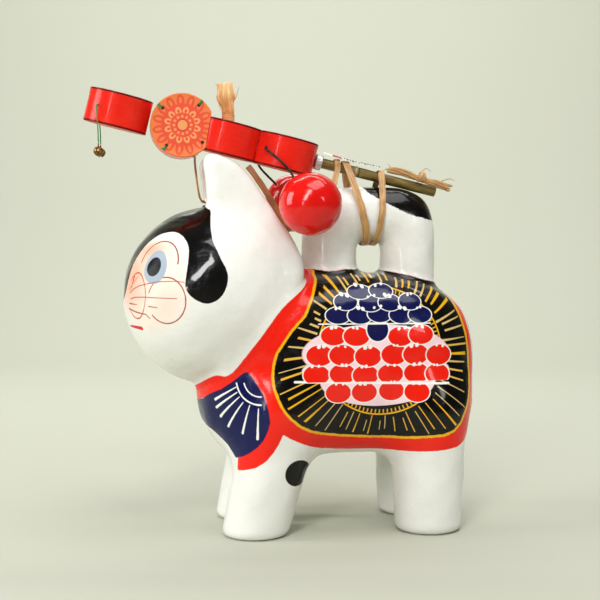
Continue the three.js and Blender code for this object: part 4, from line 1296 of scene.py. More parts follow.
def drum_print(name):
    """A printed flower of dots, loops and petals, read from the flat coordinates"""
    material, shader = new_material(name)
    where = flat_place()
    place = local_mm()
    a, b, _ = parts(where)
    far = Ink.vector("LENGTH", where, out=1)
    turn = Ink.math("ARCTAN2", b, a)

    def around(copies, shift=0.0):
        """Distance sideways from the nearest of a number of spokes, and outward"""
        part = Ink.math("FRACT", turn * (copies / math.tau) + shift) - 0.5
        return combine(part * far * (math.tau / copies), far)

    colour = over(PRINT_RED, far.below(DRUM_RADIUS, 0.3), PRINT_ORANGE)
    petal = around(PETALS)
    colour = over(colour, oval(petal, (0, 13.6), (2.35, 3.9)).below(1, 0.12), PRINT_RED)
    colour = over(colour, oval(petal, (0, 14.3), (0.85, 1.9)).below(1, 0.3), PRINT_ORANGE)
    colour = over(colour, far.below(INNER_FLOWER, 0.3), PRINT_RED)
    loop = oval(around(LOOPS, 0.5), (0, 8.3), (1.25, 1.7))
    ring = ((loop - 1).size() * 1.3 - 0.5).below(0, 0.3) * far.above(7.2, 0.6)
    colour = over(colour, ring, PRINT_LOOP)
    colour = over(colour, oval(around(LOOPS), (0, 5.0), (0.75, 0.8)).below(1, 0.3), PRINT_DOT)
    colour = over(colour, far.below(3.0, 0.3), PRINT_HEART)
    colour = painted(colour, (far - 3.2).size() - 0.35, PRINT_DEEP, 0.25)
    fibre = noise(place, 1.8, 4.0, 0.65)
    colour = over(colour, fibre.above(0.55, 0.4) * 0.1, PRINT_FIBRE)
    finish(shader, colour, fibre * 0.3 + 0.42, fibre + noise(place, 0.4) * 2, 0.35, 0.0002)
    return material


def thread_material(name, colours, scale):
    material, shader = new_material(name)
    place = local_mm()
    x, y, z = parts(place)
    twist = Ink.math("SINE", (x * 0.7 + y * 0.9 + z) * scale)
    colour = over(colours[0], twist.above(0.2, 0.8), colours[1])
    finish(shader, colour, 0.7, twist, 0.8, 0.0002)
    return material


DRUM_SIDES = 128
HALF = DRUM_DEPTH / 2
LACQUER = drum_lacquer()
EDGE = drum_edge()
PRINT = drum_print("drum_printed_head")
GREEN = thread_material("green_thread_fibre", ((16, 120, 52), (40, 160, 84)), 5.0)
TWINE = thread_material("black_twine", ((12, 10, 10), (46, 42, 42)), 3.2)
# near-black tone of the discs that stand in for the shade inside the thread holes: painted shade
HOLE_SHADE_TONE = (16, 8, 6)
HOLE_SHADE_MATERIAL, hole_shade_shader = new_material("painted_hole_shade")
hole_shade_shader.inputs["Base Color"].default_value = linear(HOLE_SHADE_TONE)

for cord_name, piece in CORD_PIECES.items():
    piece.data.materials.append(TWINE if "ball" in cord_name else GREEN)

# Radius, and height above the drum's end, from its rim in to its middle
DRUM_PROFILE = [
    (DRUM_RADIUS, -1.15),
    (DRUM_RADIUS - 0.28, -0.95),
    (DRUM_RADIUS - 0.04, -0.72),
    (DRUM_RADIUS - 0.12, -0.25),
    (DRUM_RADIUS - 0.5, -0.02),
    (DRUM_RADIUS - 1.3, -0.05),
    (DRUM_RADIUS - 1.8, -0.22),
    (DRUM_RADIUS * 0.66, -0.16),
    (DRUM_RADIUS * 0.33, -0.1),
    (0.001, -0.08),
]
# so many bands from the middle are the printed head, and the rest of the profile is dark edge
HEAD_BANDS = 4


def drum_body():
    """Points, faces and the material of each face, about the drum's middle"""
    upper = [(radius, HALF + drop) for radius, drop in DRUM_PROFILE]
    lower = [(radius, -height) for radius, height in reversed(upper)]
    middle = [(DRUM_RADIUS - 0.1, -HALF * 0.55), (DRUM_RADIUS - 0.14, 0), (DRUM_RADIUS - 0.1, HALF * 0.55)]
    profile = lower + middle + upper
    points, faces = turned(profile, DRUM_SIDES)
    index = []
    spans = len(profile) - 1
    for i in range(spans):
        from_end = min(i, spans - 1 - i)
        if from_end < HEAD_BANDS:
            surface = 2
        else:
            surface = 1 if from_end < len(DRUM_PROFILE) - 1 else 0
        index += [surface] * DRUM_SIDES
    index += [2, 2]
    return points, faces, index


def cutter(points, faces):
    data = bpy.data.meshes.new("cutter")
    data.from_pydata(metres(points).tolist(), [], [tuple(f) for f in faces])
    shape = bmesh.new()
    shape.from_mesh(data)
    bmesh.ops.recalc_face_normals(shape, faces=shape.faces)
    shape.to_mesh(data)
    shape.free()
    return link("cutter", data)


def carve(piece, cutters):
    """Takes the cutters out of a piece and drops them"""
    for tool in cutters:
        step = piece.modifiers.new("cut", "BOOLEAN")
        step.operation = "DIFFERENCE"
        step.solver = "EXACT"
        step.object = tool
    cut_mesh = bpy.data.meshes.new_from_object(
        piece.evaluated_get(bpy.context.evaluated_depsgraph_get())
    )
    piece.modifiers.clear()
    old = piece.data
    piece.data = cut_mesh
    cut_mesh.name = old.name
    for tool in cutters:
        bpy.data.objects.remove(tool)
    tidy_mesh(piece.data, 32)


def stand_drum(points, drum_x, upright):
    """From the drum's own middle to its place in the rattle"""
    x, y, z = points.T
    if upright:
        c, s = math.cos(DRUM_ROLL), math.sin(DRUM_ROLL)
        placed = np.stack([x, y * c - z * s, y * s + z * c], 1)
    else:
        placed = np.stack([x, -z, y], 1)
    placed[:, 0] += drum_x
    if not upright:
        placed[:, 1] -= SECOND_DRUM_SHIFT
    return placed


def rod_points(start, end, radius, sides=32):
    points, faces = turned([(radius, 0), (radius, 1)], sides)
    start, end = np.asarray(start, float), np.asarray(end, float)
    length = np.linalg.norm(end - start)
    turn = np.array(Vector(end - start).to_track_quat("Z", "Y").to_matrix())
    points = points * (1, 1, length)
    return points @ turn.T + start, faces


def block_points(x_from, x_to, reach):
    low = np.array([x_from, -reach, -reach])
    high = np.array([x_to, reach, reach])
    corners = [(i, j, k) for i in (0, 1) for j in (0, 1) for k in (0, 1)]
    points = np.array([low + (high - low) * corner for corner in corners])
    faces = [(0, 1, 3, 2), (4, 6, 7, 5), (0, 4, 5, 1), (2, 3, 7, 6), (0, 2, 6, 4), (1, 5, 7, 3)]
    return points, faces


STICK_START = FOURTH_X + DRUM_RADIUS - STICK_IN_DRUM
RATTLE_ON_TAIL = (TAIL_MIDDLE_X - THIRD_DRUM_X) / math.cos(SLOPE)
STICK_END = RATTLE_ON_TAIL + STICK_PAST_TAIL
COLLAR_START = FOURTH_X + DRUM_RADIUS + TOUCH_GAP
COLLAR_END = COLLAR_START + COLLAR_LENGTH
BETWEEN_FLATS = FOURTH_X / 2
DRUMS = [
    ("first", FIRST_X, True),
    ("second", SECOND_X, False),
    ("third", 0, True),
    ("fourth", FOURTH_X, True),
]


def hole_for(route, diameter):
    start, out = np.asarray(route[0]), np.asarray(route[1])
    run = (out - start) / np.linalg.norm(out - start)
    return rod_points(start - run * TOUCH_GAP, out + run * 3 * diameter, diameter / 2 + BORE_GAP, 20)


def drum_cuts(name):
    if name == "first":
        return [hole_for(thread_route(side), THREAD_DIAMETER) for side in (-1, 1)]
    if name == "second":
        bore = DRUM_RADIUS + TOUCH_GAP
        points, faces = turned([(bore, -HALF - 3), (bore, HALF + 3)], DRUM_SIDES)
        return [(stand_drum(points, 0, True), faces)]
    if name == "third":
        return [block_points(BETWEEN_FLATS - TOUCH_GAP / 2, 80, 60)]
    stick = rod_points((STICK_START - TOUCH_GAP, 0, 0), (COLLAR_END, 0, 0), STICK_RADIUS + BORE_GAP)
    holes = [hole_for(cord_route(side), CORD_DIAMETER) for side in (-1, 1)]
    return [block_points(-80, BETWEEN_FLATS + TOUCH_GAP / 2, 60), stick, *holes]


def make_drum(name, drum_x, upright):
    points, faces, index = drum_body()
    flat = points[:, :2]
    placed = from_rattle(stand_drum(points, drum_x, upright))
    nodes = [name + "_drum_" + part for part in ("shell", "upper_head", "lower_head")]
    piece = make_piece(
        name + "_drum_body",
        placed,
        faces,
        LACQUER,
        nodes,
        materials=(EDGE if upright else PRINT, PRINT),
        index=index,
        uv=flat,
        crease=32,
    )
    carve(piece, [cutter(from_rattle(p), f) for p, f in drum_cuts(name)])


for drum_name, drum_place, drum_upright in DRUMS:
    make_drum(drum_name, drum_place, drum_upright)


# Thread ends knotted through small holes near the rim of the second drum's face, four holes and three ends.
# The holes aren't cut: each is a near-black disc of painted shade
THREAD_ENDS = [(153, True), (64, True), (-115, True), (-27, False)]
HOLE_REACH = 15


def make_thread_ends():
    points, faces, index = [], [], []

    def add(body, surface):
        start = sum(len(part) for part in points)
        faces.extend(tuple(i + start for i in face) for face in body[1])
        index.extend([surface] * len(body[1]))
        points.append(body[0])

    for angle, threaded in THREAD_ENDS:
        turn = math.radians(angle)
        out = np.array([math.cos(turn), math.sin(turn), 0])
        across = np.array([-math.sin(turn), math.cos(turn), 0])
        # each hole is a near-black disc standing in for the shade inside it: painted shade
        dark, shade_disc_faces = turned([(0.95, -0.25), (0.95, 0.12)], 20)
        add((dark + out * HOLE_REACH + (0, 0, HALF), shade_disc_faces), 1)
        if not threaded:
            continue
        rings = []
        for share in np.linspace(0, 1, 7):
            middle = out * (HOLE_REACH + 0.4 + 2.9 * share) + across * math.sin(share * 3) * 0.3
            width = 0.35 + 0.75 * share
            ring = []
            for k in range(8):
                t = math.tau * k / 8
                lift = 0.2 + 0.32 * math.sin(t) - 0.1 * share
                ring.append(middle + across * math.cos(t) * width + (0, 0, HALF + lift))
            rings.append(np.array(ring))
        add(rings_skin(rings), 0)
    placed = from_rattle(stand_drum(np.concatenate(points), SECOND_X, False))
    name = "second_drum_thread_ends"
    make_piece(name, placed, faces, GREEN, (), materials=(HOLE_SHADE_MATERIAL,), index=index)


make_thread_ends()


# Balls
def make_ball(name, side):
    shape = bmesh.new()
    bmesh.ops.create_icosphere(shape, subdivisions=6, radius=1)
    points = np.array([v.co for v in shape.verts])
    faces = [tuple(v.index for v in f.verts) for f in shape.faces]
    shape.free()
    x, y, z = (points * (BALL_DIAMETER / 2)).T
    lumps = np.sin(x * 0.5 + y * 0.3) * np.sin(z * 0.45 + side) + np.sin(y * 0.7 - z * 0.4 + x * 0.3) * 0.5
    radius = BALL_DIAMETER / 2 - 0.15 + lumps * 0.11
    centre = ball_centre(side)
    end = from_rattle(cord_route(side)[-1])[0] - centre
    end /= np.linalg.norm(end)
    close = np.degrees(np.arccos(np.clip(points @ end, -1, 1)))
    radius = radius - 1.1 * np.exp(-((close / 4.2) ** 2))
    placed = points * radius[:, None] + centre
    material, shader = new_material(name + "_lacquer")
    place = local_mm()
    colour = over(BALL_RED, noise(place, 0.12, 3.0).above(0.5, 0.4) * 0.4, BALL_DARK)
    finish_lacquer(shader, colour, place, shine=0.1, coat=0.6)
    make_piece(name + "_moulded", placed, faces, material, (name,))


make_ball("near_ball", -1)
make_ball("far_ball", 1)


# Bells
def make_bell(name, side):
    end = from_rattle(thread_route(side)[-1])[0]
    radius = BELL_DIAMETER / 2
    top = radius + 2 * BELL_RING_RADIUS + BELL_RING_WIRE / 2
    middle = end - (0, 0, top + TOUCH_GAP)
    profile = []
    turns = np.linspace(0.02, math.pi - 0.02, 33)
    for turn in turns:
        band = 0.16 * math.exp(-(((turn - math.pi / 2) / 0.07) ** 2))
        profile.append(((radius - 0.12 + band) * math.sin(turn), (radius - 0.12) * math.cos(turn)))
    points, faces = turned(profile, 48)
    # the slot across the lower half
    for turn, ring in zip(turns, points.reshape(len(turns), 48, 3)):
        if turn > math.pi * 0.56:
            ring[np.abs(ring[:, 0]) < 0.42] *= 0.72
    loops = []
    for k in range(28):
        t = math.tau * k / 28
        c, s = math.cos(t), math.sin(t)
        hub = np.array([0, c, s]) * BELL_RING_RADIUS
        wire = []
        for m in range(8):
            w = math.tau * m / 8
            wire.append(hub + np.array([math.sin(w), math.cos(w) * c, math.cos(w) * s]) * BELL_RING_WIRE)
        loops.append(np.array(wire) + (0, 0, radius + BELL_RING_RADIUS - BELL_RING_WIRE / 2))
    ring_points, ring_faces = rings_skin(loops, closed=True)
    faces = list(faces) + [tuple(i + len(points) for i in f) for f in ring_faces]
    points = np.concatenate([points, ring_points]) + middle
    make_piece(name + "_cast", points, faces, BRONZE, (name,), crease=35)


def bronze_material():
    material, shader = new_material("old_bronze")
    place = local_mm()
    tarnish = noise(place, 0.9, 4.0, 0.65)
    colour = over(BRONZE_TONE, tarnish.above(0.5, 0.25), TARNISH)
    shader.inputs["Metallic"].default_value = 1
    finish(shader, colour, tarnish * 0.35 + 0.16, tarnish, 0.3, 0.0001)
    return material


BRONZE = bronze_material()
make_bell("near_bell", -1)
make_bell("far_bell", 1)


# Stick and its collar
RING_AT = COLLAR_END - STICK_START + NODE_RING_SHARE * (STICK_END - COLLAR_END)


def bamboo_material():
    material, shader = new_material("smoked_bamboo")
    where = flat_place()
    v = parts(where)[1]
    grain = noise(Ink.vector("MULTIPLY", where, (2.2, 0.06, 1)), 1.0, 5.0, 0.6)
    blotch = noise(Ink.vector("MULTIPLY", where, (0.5, 0.09, 1)), 1.0, 3.0, 0.6)
    colour = over(CANE, grain.above(0.5, 0.35), CANE_GRAIN)
    colour = over(colour, blotch.above(0.56, 0.2) * 0.6, CANE_LIGHT)
    colour = over(colour, blotch.below(0.4, 0.15) * 0.5, CANE_DARK)
    colour = painted(colour, (v - RING_AT).size() - 0.9, CANE_RING, 0.5)
    # painted shadow: a dark band in the dip just past the node ring, where the ridge's shade falls
    dark = ((v - RING_AT - 1.5).size() - 0.5).below(0, 0.5)
    colour = over(colour, dark * 0.8, CANE_PAINTED_SHADOW)
    finish(shader, colour, grain * 0.2 + 0.32, grain, 0.5, 0.0002)
    return material


def make_stick():
    length = STICK_END - STICK_START
    half = STICK_DIAMETER / 4
    profile = [(0.001, 0), (STICK_RADIUS, 0)]
    for at in np.linspace(2, RING_AT - 2 * half, 18):
        profile.append((STICK_RADIUS - 0.03 + 0.05 * math.sin(at * 0.4), at))
    for share, up in ((-1, 0), (-0.5, 0.5), (-0.15, 1), (0.15, 0.9), (0.3, 0.1), (0.55, -0.2), (1, 0)):
        profile.append((STICK_RADIUS + NODE_RING_HEIGHT * up, RING_AT + share * half))
    for at in np.linspace(RING_AT + 2 * half, length - 0.4, 26):
        profile.append((STICK_RADIUS - 0.03 + 0.05 * math.sin(at * 0.37), at))
    # the cut end shows the hollow of the cane
    profile += [(STICK_RADIUS - 0.25, length), (STICK_RADIUS * 0.55, length)]
    profile += [(STICK_RADIUS * 0.5, length - 1.5), (0.001, length - 1.5)]
    sides = 40
    points, faces = turned(profile, sides, axis="x")
    along = points[:, 0].copy()
    around = np.arctan2(points[:, 2], points[:, 1]) * STICK_RADIUS
    # it isn't quite straight or quite round
    points[:, 1] += np.sin(along * 0.05) * 0.12
    points[:, 0] += STICK_START
    uv = np.stack([around, along], 1)
    placed = from_rattle(points)
    make_piece("bamboo_rod", placed, faces, bamboo_material(), ("bamboo_stick",), uv=uv)


def foil_material():
    material, shader = new_material("silver_paper")
    place = local_mm()
    crush = noise(place, 1.1, 4.0, 0.65)
    colour = over(FOIL, crush.above(0.52, 0.2) * 0.6, FOIL_CREASE)
    shader.inputs["Metallic"].default_value = 0.55
    finish(shader, colour, crush * 0.3 + 0.2, crush, 0.8, 0.0003)
    return material


def make_collar():
    inner = STICK_RADIUS + BORE_GAP
    outer = COLLAR_DIAMETER / 2
    profile = [(inner, 0), (outer - 0.4, 0), (outer, 0.4)]
    profile += [(outer - 0.12, 1.2), (outer, 2), (outer - 0.14, 2.8), (outer, 3.6)]
    profile += [(outer - 0.4, COLLAR_LENGTH), (inner, COLLAR_LENGTH)]
    points, faces = turned(profile, 48, axis="x", closed=True)
    points = points + (COLLAR_START, 0, 0)
    make_piece("collar_ring", from_rattle(points), faces, foil_material(), ("stick_collar",))


make_stick()
make_collar()


# Raffia
def raffia_material(name, tones, clear=0.0):
    material, shader = new_material(name)
    where = flat_place()
    place = local_mm()
    fibre = noise(Ink.vector("MULTIPLY", where, (2.6, 0.09, 1)), 1.0, 4.0, 0.62)
    broad = noise(Ink.vector("MULTIPLY", where, (0.7, 0.05, 1)), 1.0, 2.0, 0.5)
    patch = noise(place, 0.1, 2.0, 0.5)
    colour = over(tones[0], fibre.above(0.5, 0.2), tones[1])
    colour = over(colour, broad.above(0.55, 0.18) * 0.6, tones[2])
    colour = over(colour, patch.above(0.58, 0.2) * 0.5, tones[3])
    shader.inputs["Subsurface Weight"].default_value = clear
    shader.inputs["Subsurface Radius"].default_value = (0.002, 0.0012, 0.0006)
    shader.inputs["Sheen Weight"].default_value = 0.15
    finish(shader, colour, fibre * 0.2 + 0.34, fibre + broad, 0.7, 0.0003)
    return material


RAFFIA_TAN = raffia_material("raffia_tan", ((206, 158, 96), (170, 118, 62), (232, 196, 136), (142, 98, 52)))
RAFFIA_DARK = raffia_material("raffia_dark", ((178, 112, 60), (132, 76, 38), (204, 140, 84), (120, 70, 36)))
RAFFIA_PALE = raffia_material(
    "raffia_pale", ((222, 176, 108), (206, 150, 84), (248, 230, 180), (196, 110, 50)), clear=0.3
)


def unit(rows):
    return rows / np.linalg.norm(rows, axis=1, keepdims=True)


def distance_along(middles):
    return np.concatenate([[0], np.cumsum(np.linalg.norm(np.diff(middles, axis=0), axis=1))])


def ribbon(stations, thickness, loop=False, fineness=8, across_count=9, ridge=0.16, seed=0.0):
    """A flat strip along a smooth path: stations are (place, look, width)"""
    table = [(*place, *look, width) for place, look, width in stations]
    rows = smooth_path(table, fineness, loop)
    middles, looks, widths = rows[:, :3], rows[:, 3:6], rows[:, 6]
    along = np.roll(middles, -1, 0) - np.roll(middles, 1, 0) if loop else np.gradient(middles, axis=0)
    along = unit(along)
    flats = unit(looks - (looks * along).sum(1, keepdims=True) * along)
    across = np.cross(flats, along)
    run = distance_along(middles)
    shares = np.linspace(-1, 1, across_count)
    rings, uv = [], []
    for i in range(len(rows)):
        half = widths[i] / 2 * (1 + 0.07 * math.sin(run[i] * 0.6 + seed))
        lift = ridge * np.cos(shares * 9 + seed + run[i] * 0.03)
        edge = np.sqrt(np.clip(1 - np.abs(shares) ** 4, 0.06, 1)) * thickness / 2
        middle = middles[i] + np.outer(shares * half, across[i])
        top = middle + np.outer(edge + lift * edge, flats[i])
        low = middle + np.outer(lift * edge - edge, flats[i])
        rings.append(np.concatenate([top, low[::-1]]))
        uv += [(s * half + seed, run[i]) for s in np.concatenate([shares, shares[::-1]])]
    points, faces = rings_skin(rings, closed=loop)
    return points, faces, np.array(uv)


def join_parts(bodies):
    points, faces, uv = [], [], []
    start = 0
    for body_points, body_faces, body_uv in bodies:
        points.append(body_points)
        uv.append(body_uv)
        faces += [tuple(int(i) + start for i in face) for face in body_faces]
        start += len(body_points)
    return np.concatenate(points), faces, np.concatenate(uv)


def strand(route, radius, seed=0.0, per_span=8, sides=8):
    """A thin round fibre; the radius may be a number or one for each point of the route"""
    route = np.asarray(route, float)
    radii = np.full(len(route), radius) if np.isscalar(radius) else np.asarray(radius, float)
    rows = smooth_path(np.column_stack([route, radii]), per_span)
    middles, radii = rows[:, :3], rows[:, 3]
    along = unit(np.gradient(middles, axis=0))
    side = unit(np.cross(along, (0.3, 0.9, 0.31)))
    up = np.cross(side, along)
    run = distance_along(middles)
    angle = np.arange(sides) * math.tau / sides
    rings, uv = [], []
    for i in range(len(rows)):
        around = np.outer(np.cos(angle), side[i]) + np.outer(np.sin(angle), up[i])
        rings.append(middles[i] + radii[i] * around)
        uv += [(seed + a, run[i]) for a in angle]
    points, faces = rings_skin(rings)
    return points, faces, np.array(uv)


LEFT = (0, -1, 0)
TOP = (0, 0, 1)


def before_ear(x, y, share):
    return (EAR_FRONT_X + x, y, EAR_HEIGHT + (HEAD_HEIGHT - EAR_HEIGHT) * share)


def on_crown(x, y, up):
    return (HEAD_X + x, y, HEAD_HEIGHT + up)


def behind_ear(share, y, above):
    drop = math.tan(SLOPE) * EAR_TOP_WIDTH / 2
    top_x, top_z = EAR_FRONT_X + EAR_TOP_WIDTH, EAR_HEIGHT - drop
    root_x, root_z = EAR_FRONT_X + EAR_LEAN + EAR_ROOT_WIDTH, EAR_ROOT_HEIGHT
    return (top_x + (root_x - top_x) * share, y, top_z + (root_z - top_z) * share + above)


EAR_TIE_FRONT = [
    (before_ear(3, 15.2, -0.756), (-0.4, 0.6, 0.5), 3),
    (before_ear(-0.1, 14.2, -0.522), (-0.9, 0.3, 0.1), 3),
    (before_ear(-1.1, 12.6, -0.187), (-1, 0, 0), 3),
    (before_ear(-1.7, 8.6, 0.08), (-1, -0.1, 0), 3),
    (before_ear(-1.3, 2, 0.381), (-1, -0.2, 0), 3),
    (before_ear(-0.5, -2, 0.649), (-1, -0.2, 0), 3.2),
    (on_crown(-6.7, -3.6, 3.9), (-0.9, 0, 0.5), 3.4),
    (on_crown(-1.5, -2, 1.5), TOP, 3.6),
    (on_crown(6.5, 0, 1.3), TOP, 3.6),
]
EAR_TIE_REAR = [
    (behind_ear(0.128, -8.4, 5.1), LEFT, 4.6),
    (behind_ear(0.221, -9.6, 5.7), LEFT, 4.6),
    (behind_ear(0.36, -10.6, 5.9), LEFT, 4.8),
    (behind_ear(0.472, -11.2, 5.1), LEFT, 4.8),
    (behind_ear(0.574, -11.6, 5), LEFT, 4.6),
    (behind_ear(0.71, -10.6, 5.5), LEFT, 4.2),
]


def tail_wrap(low_x, high_x, low_width, high_width):
    bar_z = TAIL_HEIGHT - TAIL_THICKNESS / 2
    bar_radius = TAIL_THICKNESS / 2 + WRAP_GAP + FACET_GAP
    stick_z = axis_height(high_x)
    stick_radius = STICK_RADIUS + WRAP_GAP + STICK_SPARE
    leave = 90 + math.degrees(math.asin((bar_radius - stick_radius) / (stick_z - bar_z)))
    bottom, top = bar_z - bar_radius, stick_z + stick_radius

    def station(middle_z, radius, angle):
        turn = math.radians(angle)
        look = (0, -math.sin(turn), -math.cos(turn))
        z = middle_z + radius * look[2]
        share = (z - bottom) / (top - bottom)
        place = (low_x + (high_x - low_x) * share, radius * look[1], z)
        return place, look, low_width + (high_width - low_width) * share

    near = [station(bar_z, bar_radius, share * leave) for share in (0, 0.25, 0.5, 0.75, 1)]
    over_stick = []
    for share in (0, 1 / 3, 2 / 3, 1):
        over_stick.append(station(stick_z, stick_radius, leave + share * (360 - 2 * leave)))
    far = [station(bar_z, bar_radius, -share * leave) for share in (1, 0.75, 0.5, 0.25)]
    return near + over_stick + far


def tie_end_stations():
    stations = []
    axis = np.array([TIE_END_X, 0, axis_height(TIE_END_X)])
    for angle in (60, 30, 0, -30, -60, -90):
        turn = math.radians(angle)
        look = np.array([0, math.sin(turn), math.cos(turn)])
        place = axis + look * (STICK_RADIUS + WRAP_GAP + STICK_SPARE)
        stations.append((tuple(place), tuple(look), 3.8))
    return stations + [
        ((20, -8.6, 207.6), (0, -0.8, 0.5), 4),
        ((16.6, -14.8, 199.4), (-0.2, -1, 0.4), 4.2),
        ((12, -16, 190), (-0.3, -1, 0), 4.2),
        ((8.4, -16.2, 181), (-0.3, -1, 0), 4),
    ]


def shifted(stations, out, across, width_share):
    """The same strip a little further out or aside, for a second strand beside it"""
    moved = []
    for place, look, width in stations:
        look = np.asarray(look, float)
        look = look / np.linalg.norm(look)
        place = np.asarray(place) + look * out + np.asarray(across)
        moved.append((tuple(place), tuple(look), width * width_share))
    return moved


def make_strips(name, node, bodies, material):
    """One piece of several strips and strands"""
    points, faces, uv = join_parts(bodies)
    make_piece(name, points, faces, material, (node,), uv=uv, crease=50)


def make_tie(name, node, stations, strands, loop=False, material=RAFFIA_TAN):
    """A tie of flat strands side by side, each (out, aside, share of the width, thickness)"""
    bodies = []
    for number, (out, across, share, thickness) in enumerate(strands):
        strip = shifted(stations, out, across, share)
        bodies.append(ribbon(strip, thickness, loop=loop, seed=number * 1.7))
    make_strips(name, node, bodies, material)


make_tie(
    "ear_tie_front_strands",
    "ear_tie_front",
    EAR_TIE_FRONT,
    [(0, (0.3, 0.5, 0), 0.55, 0.5), (0.1, (-0.3, -0.9, 0), 0.45, 0.55)],
)
make_tie(
    "ear_tie_rear_strands",
    "ear_tie_rear",
    EAR_TIE_REAR,
    [(0, (0.5, 0, 0.4), 0.5, 0.5), (0.15, (-0.7, 0, -0.6), 0.4, 0.6)],
    material=RAFFIA_DARK,
)
make_tie(
    "tail_tie_front_strands",
    "tail_tie_front",
    tail_wrap(39.2, 27.3, 4.6, 4.2),
    [(0, (0.6, 0, 0), 0.7, 0.5), (0.2, (-1.2, 0, 0), 0.5, 0.5)],
    loop=True,
)
make_tie(
    "tail_tie_rear_strands",
    "tail_tie_rear",
    tail_wrap(44, 49, 3.6, 4.2),
    [(0, (-0.5, 0, 0), 0.7, 0.5), (0.2, (0.9, 0, 0), 0.5, 0.5)],
    loop=True,
)
make_tie(
    "tail_tie_end_strands",
    "tail_tie_end",
    tie_end_stations(),
    [(0, (0.4, 0, 0), 0.65, 0.5), (0.1, (-0.9, 0, 0), 0.5, 0.5)],
)


def make_bow():
    foot = np.array([THIRD_DRUM_X, 5, axis_height(THIRD_DRUM_X) + DRUM_DEPTH / 2 + 3])
    stations = [
        (0.6, -1.2, 0, -1, 0, 0.6),
        (0, -2.6, 0.3, -1, 0.1, 0.75),
        (-1.4, -4, 0.62, -1, 0.2, 1),
        (-1.8, -2.6, 0.88, -1, 0.7, 0.9),
        (-1.6, 0, 0.97, 0, 1, 0.75),
        (-1.8, 2.6, 0.86, 1, 0.7, 0.9),
        (-1.2, 3.6, 0.6, 1, 0.2, 1),
        (0, 2.2, 0.3, 1, 0.1, 0.75),
        (0.6, 0.6, 0, 1, 0, 0.6),
    ]
    bodies = []
    for seed, (share, dx, lean, width) in enumerate(
        ((1.0, 0.2, 0.2, 0.9), (0.93, -2.0, 0.4, 0.5), (0.86, 2.2, -0.6, 0.45))
    ):
        loop = []
        for x, y, up, look_y, look_z, part in stations:
            aside = x + dx * math.sin(up * 1.5) + lean * up
            place = foot + (aside, y * (1.05 - 0.12 * seed), up * BOW_HEIGHT * share)
            loop.append((tuple(place), (0.12 * (seed - 1), look_y, look_z), BOW_WIDTH * part * width))
        bodies.append(ribbon(loop, 0.3, fineness=9, across_count=15, ridge=0.9, seed=seed * 2.3))
    # the neck is bound with a few turns
    for turn_number, height in enumerate((-1.1, 0.1, 1.3)):
        ring = []
        for k in range(10):
            t = math.tau * k / 10
            look = (math.cos(t), math.sin(t), 0)
            wide = BOW_NECK_WIDTH / 2 + 0.3
            place = foot + (0.5 + wide * look[0], -0.3 + 2.7 * look[1], height + 0.2 + 0.25 * math.sin(t))
            ring.append((tuple(place), look, 1.5))
        bodies.append(ribbon(ring, 0.5, loop=True, fineness=4, across_count=5, seed=turn_number))
    core = [foot + (0.5, -0.3, height) for height in (-1.6, 0, 2.4)]
    bodies.append(strand(core, [2.3, 2.5, 1.9], sides=16))
    wisps = [
        [(-2, 0, 10), (-4.5, -1, 17), (-7.6, -2, 20.6)],
        [(3, 1, 9), (5.4, 1, 13), (7.2, 0, 19.4)],
        [(-1, -2, 2), (-4.8, -3, 6), (-5.6, -3, 13)],
    ]
    for wisp in wisps:
        bodies.append(strand([foot + place for place in wisp], [0.28, 0.2, 0.1], seed=3.0))
    make_strips("raffia_bow_loops", "raffia_bow", bodies, RAFFIA_PALE)


make_bow()

BUNDLE = [
    (10.6, 1.4, 0),
    (13, 2, 6),
    (17, 2.6, 12),
    (24, 2.4, 18),
    (28.5, 2, 24),
    (31.5, 3.1, 30),
    (34.5, 2, 36),
    (41, 2.6, 48),
    (47.5, 3, 58),
]


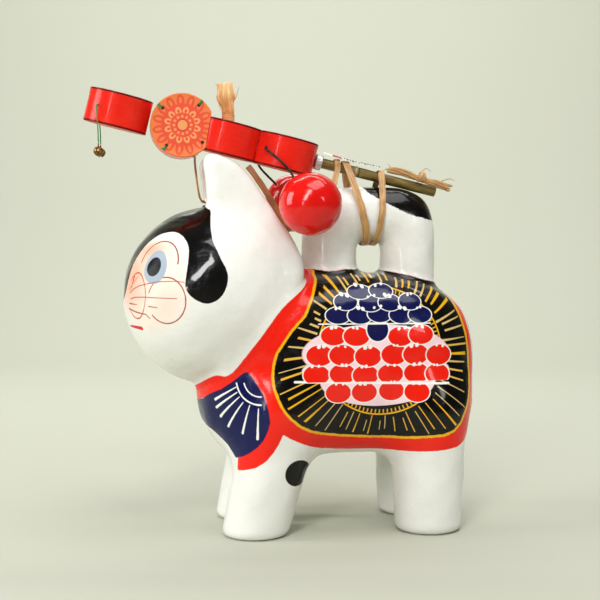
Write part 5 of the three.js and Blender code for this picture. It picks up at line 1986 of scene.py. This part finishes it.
def make_bundle():
    middles, radii = [], []
    for along, radius, angle in BUNDLE:
        turn = math.radians(angle)
        out = STICK_RADIUS + WRAP_GAP + radius
        middles.append((RATTLE_ON_TAIL + along, -out * math.sin(turn), out * math.cos(turn)))
        radii.append(radius)
    middles, radii = np.array(middles), np.array(radii)
    bodies = [strand(from_rattle(middles), radii * 0.62, sides=20)]
    count = 11
    for k in range(count):
        route = []
        for i, (middle, radius) in enumerate(zip(middles, radii)):
            turn = math.tau * k / count + i * 0.34 + math.sin(k * 2.1) * 0.2
            spread = radius * (0.62 + 0.1 * math.sin(k * 1.9 + i))
            route.append(middle + (0, spread * math.cos(turn), spread * math.sin(turn)))
        end = route[-1] + (1.6 + 1.4 * math.sin(k * 3.3), 0, 0)
        route[-1] = end
        thick = [0.5] + [0.62 + 0.16 * math.sin(k + i) for i in range(len(route) - 2)] + [0.42]
        bodies.append(strand(from_rattle(route), thick, seed=k * 1.3))
    # the knot: two turns round the bundle
    knot_at = middles[5]
    for step, slant in ((-0.9, 0.5), (0.9, -0.4)):
        ring = []
        for k in range(12):
            t = math.tau * k / 12
            look = np.array([0, math.cos(t), math.sin(t)])
            place = knot_at + look * 2.9 + (step + slant * math.sin(t), 0, 0)
            place_out = from_rattle(place)[0]
            look_out = from_rattle(place + look)[0] - place_out
            ring.append((tuple(place_out), tuple(look_out), 2.2))
        bodies.append(ribbon(ring, 0.7, loop=True, fineness=4, across_count=7, seed=step))
    strays = [
        [(9, 0, 5.4), (12, 0.6, 8.0), (10, 0.4, 9.6)],
        [(31, -1, 9.6), (33.5, -1.4, 12.4), (36.8, -1.2, 11.2)],
        [(44, -4, 7.0), (49, -4.5, 9.6), (52, -5, 8.8)],
    ]
    for k, stray in enumerate(strays):
        route = [(RATTLE_ON_TAIL + x, y, z) for x, y, z in stray]
        bodies.append(strand(from_rattle(route), [0.3, 0.22, 0.1], seed=k))
    make_strips("raffia_bundle_fibres", "raffia_bundle", bodies, RAFFIA_TAN)


make_bundle()


# Paper slip with plain coloured bands and short dashes
def slip_material():
    material, shader = new_material("striped_paper")
    u, v, _ = parts(flat_place())
    place = local_mm()
    crumple = noise(place, 0.7, 3.0, 0.6)
    colour = over(SLIP_PAPER, crumple.above(0.55, 0.2) * 0.3, SLIP_CREASE)
    band = (v - 9).size() - 3.0
    colour = painted(colour, band, SLIP_RED, 0.4)
    cell = Ink.math("FLOOR", v * 0.55)
    dash = (Ink.math("FRACT", v * 0.55) - 0.5).size() - 0.16 - chance(cell) * 0.3
    marks = dash.most((u - 0.2).size() - 2.2 - chance(cell + 5) * 1.2).most(13.2 - v)
    colour = painted(colour, marks, SLIP_MARK, 0.12)
    finish(shader, colour, 0.55, crumple, 0.5, 0.0003)
    return material


def make_slip():
    middle = (COLLAR_END + RATTLE_ON_TAIL + 5) / 2
    over_ties = STICK_RADIUS + WRAP_GAP + STICK_SPARE + RAFFIA_THICKNESS / 2
    height = over_ties + 2 * TOUCH_GAP + SLIP_THICKNESS
    stations = []
    for share in np.linspace(-0.5, 0.5, 9):
        place = (middle + share * SLIP_LENGTH, -0.6, height - math.cos(share * 6) * 0.25)
        start = from_rattle(place)[0]
        look = from_rattle(np.array(place) + (0, -0.25, 1))[0] - start
        stations.append((tuple(start), tuple(look), SLIP_WIDTH * (1 - 0.08 * math.sin(share * 9))))
    strip = ribbon(stations, SLIP_THICKNESS * 0.7, fineness=5, across_count=13, ridge=0.5)
    make_strips("paper_slip_striped", "paper_slip", [strip], slip_material())


make_slip()


# Backdrop tone
def studio_material():
    material, shader = new_material("studio_paper")
    node = Ink.tree.nodes.new("ShaderNodeTexCoord")
    place = Ink(node.outputs["Object"])
    shade = noise(place, 1.3, 2.0)
    colour = over(STUDIO_PAPER, shade * 0.15, STUDIO_SHADE)
    Ink.feed(shader.inputs["Base Color"], colour)
    shader.inputs["Roughness"].default_value = 0.9
    return material


STUDIO.data.materials.append(studio_material())
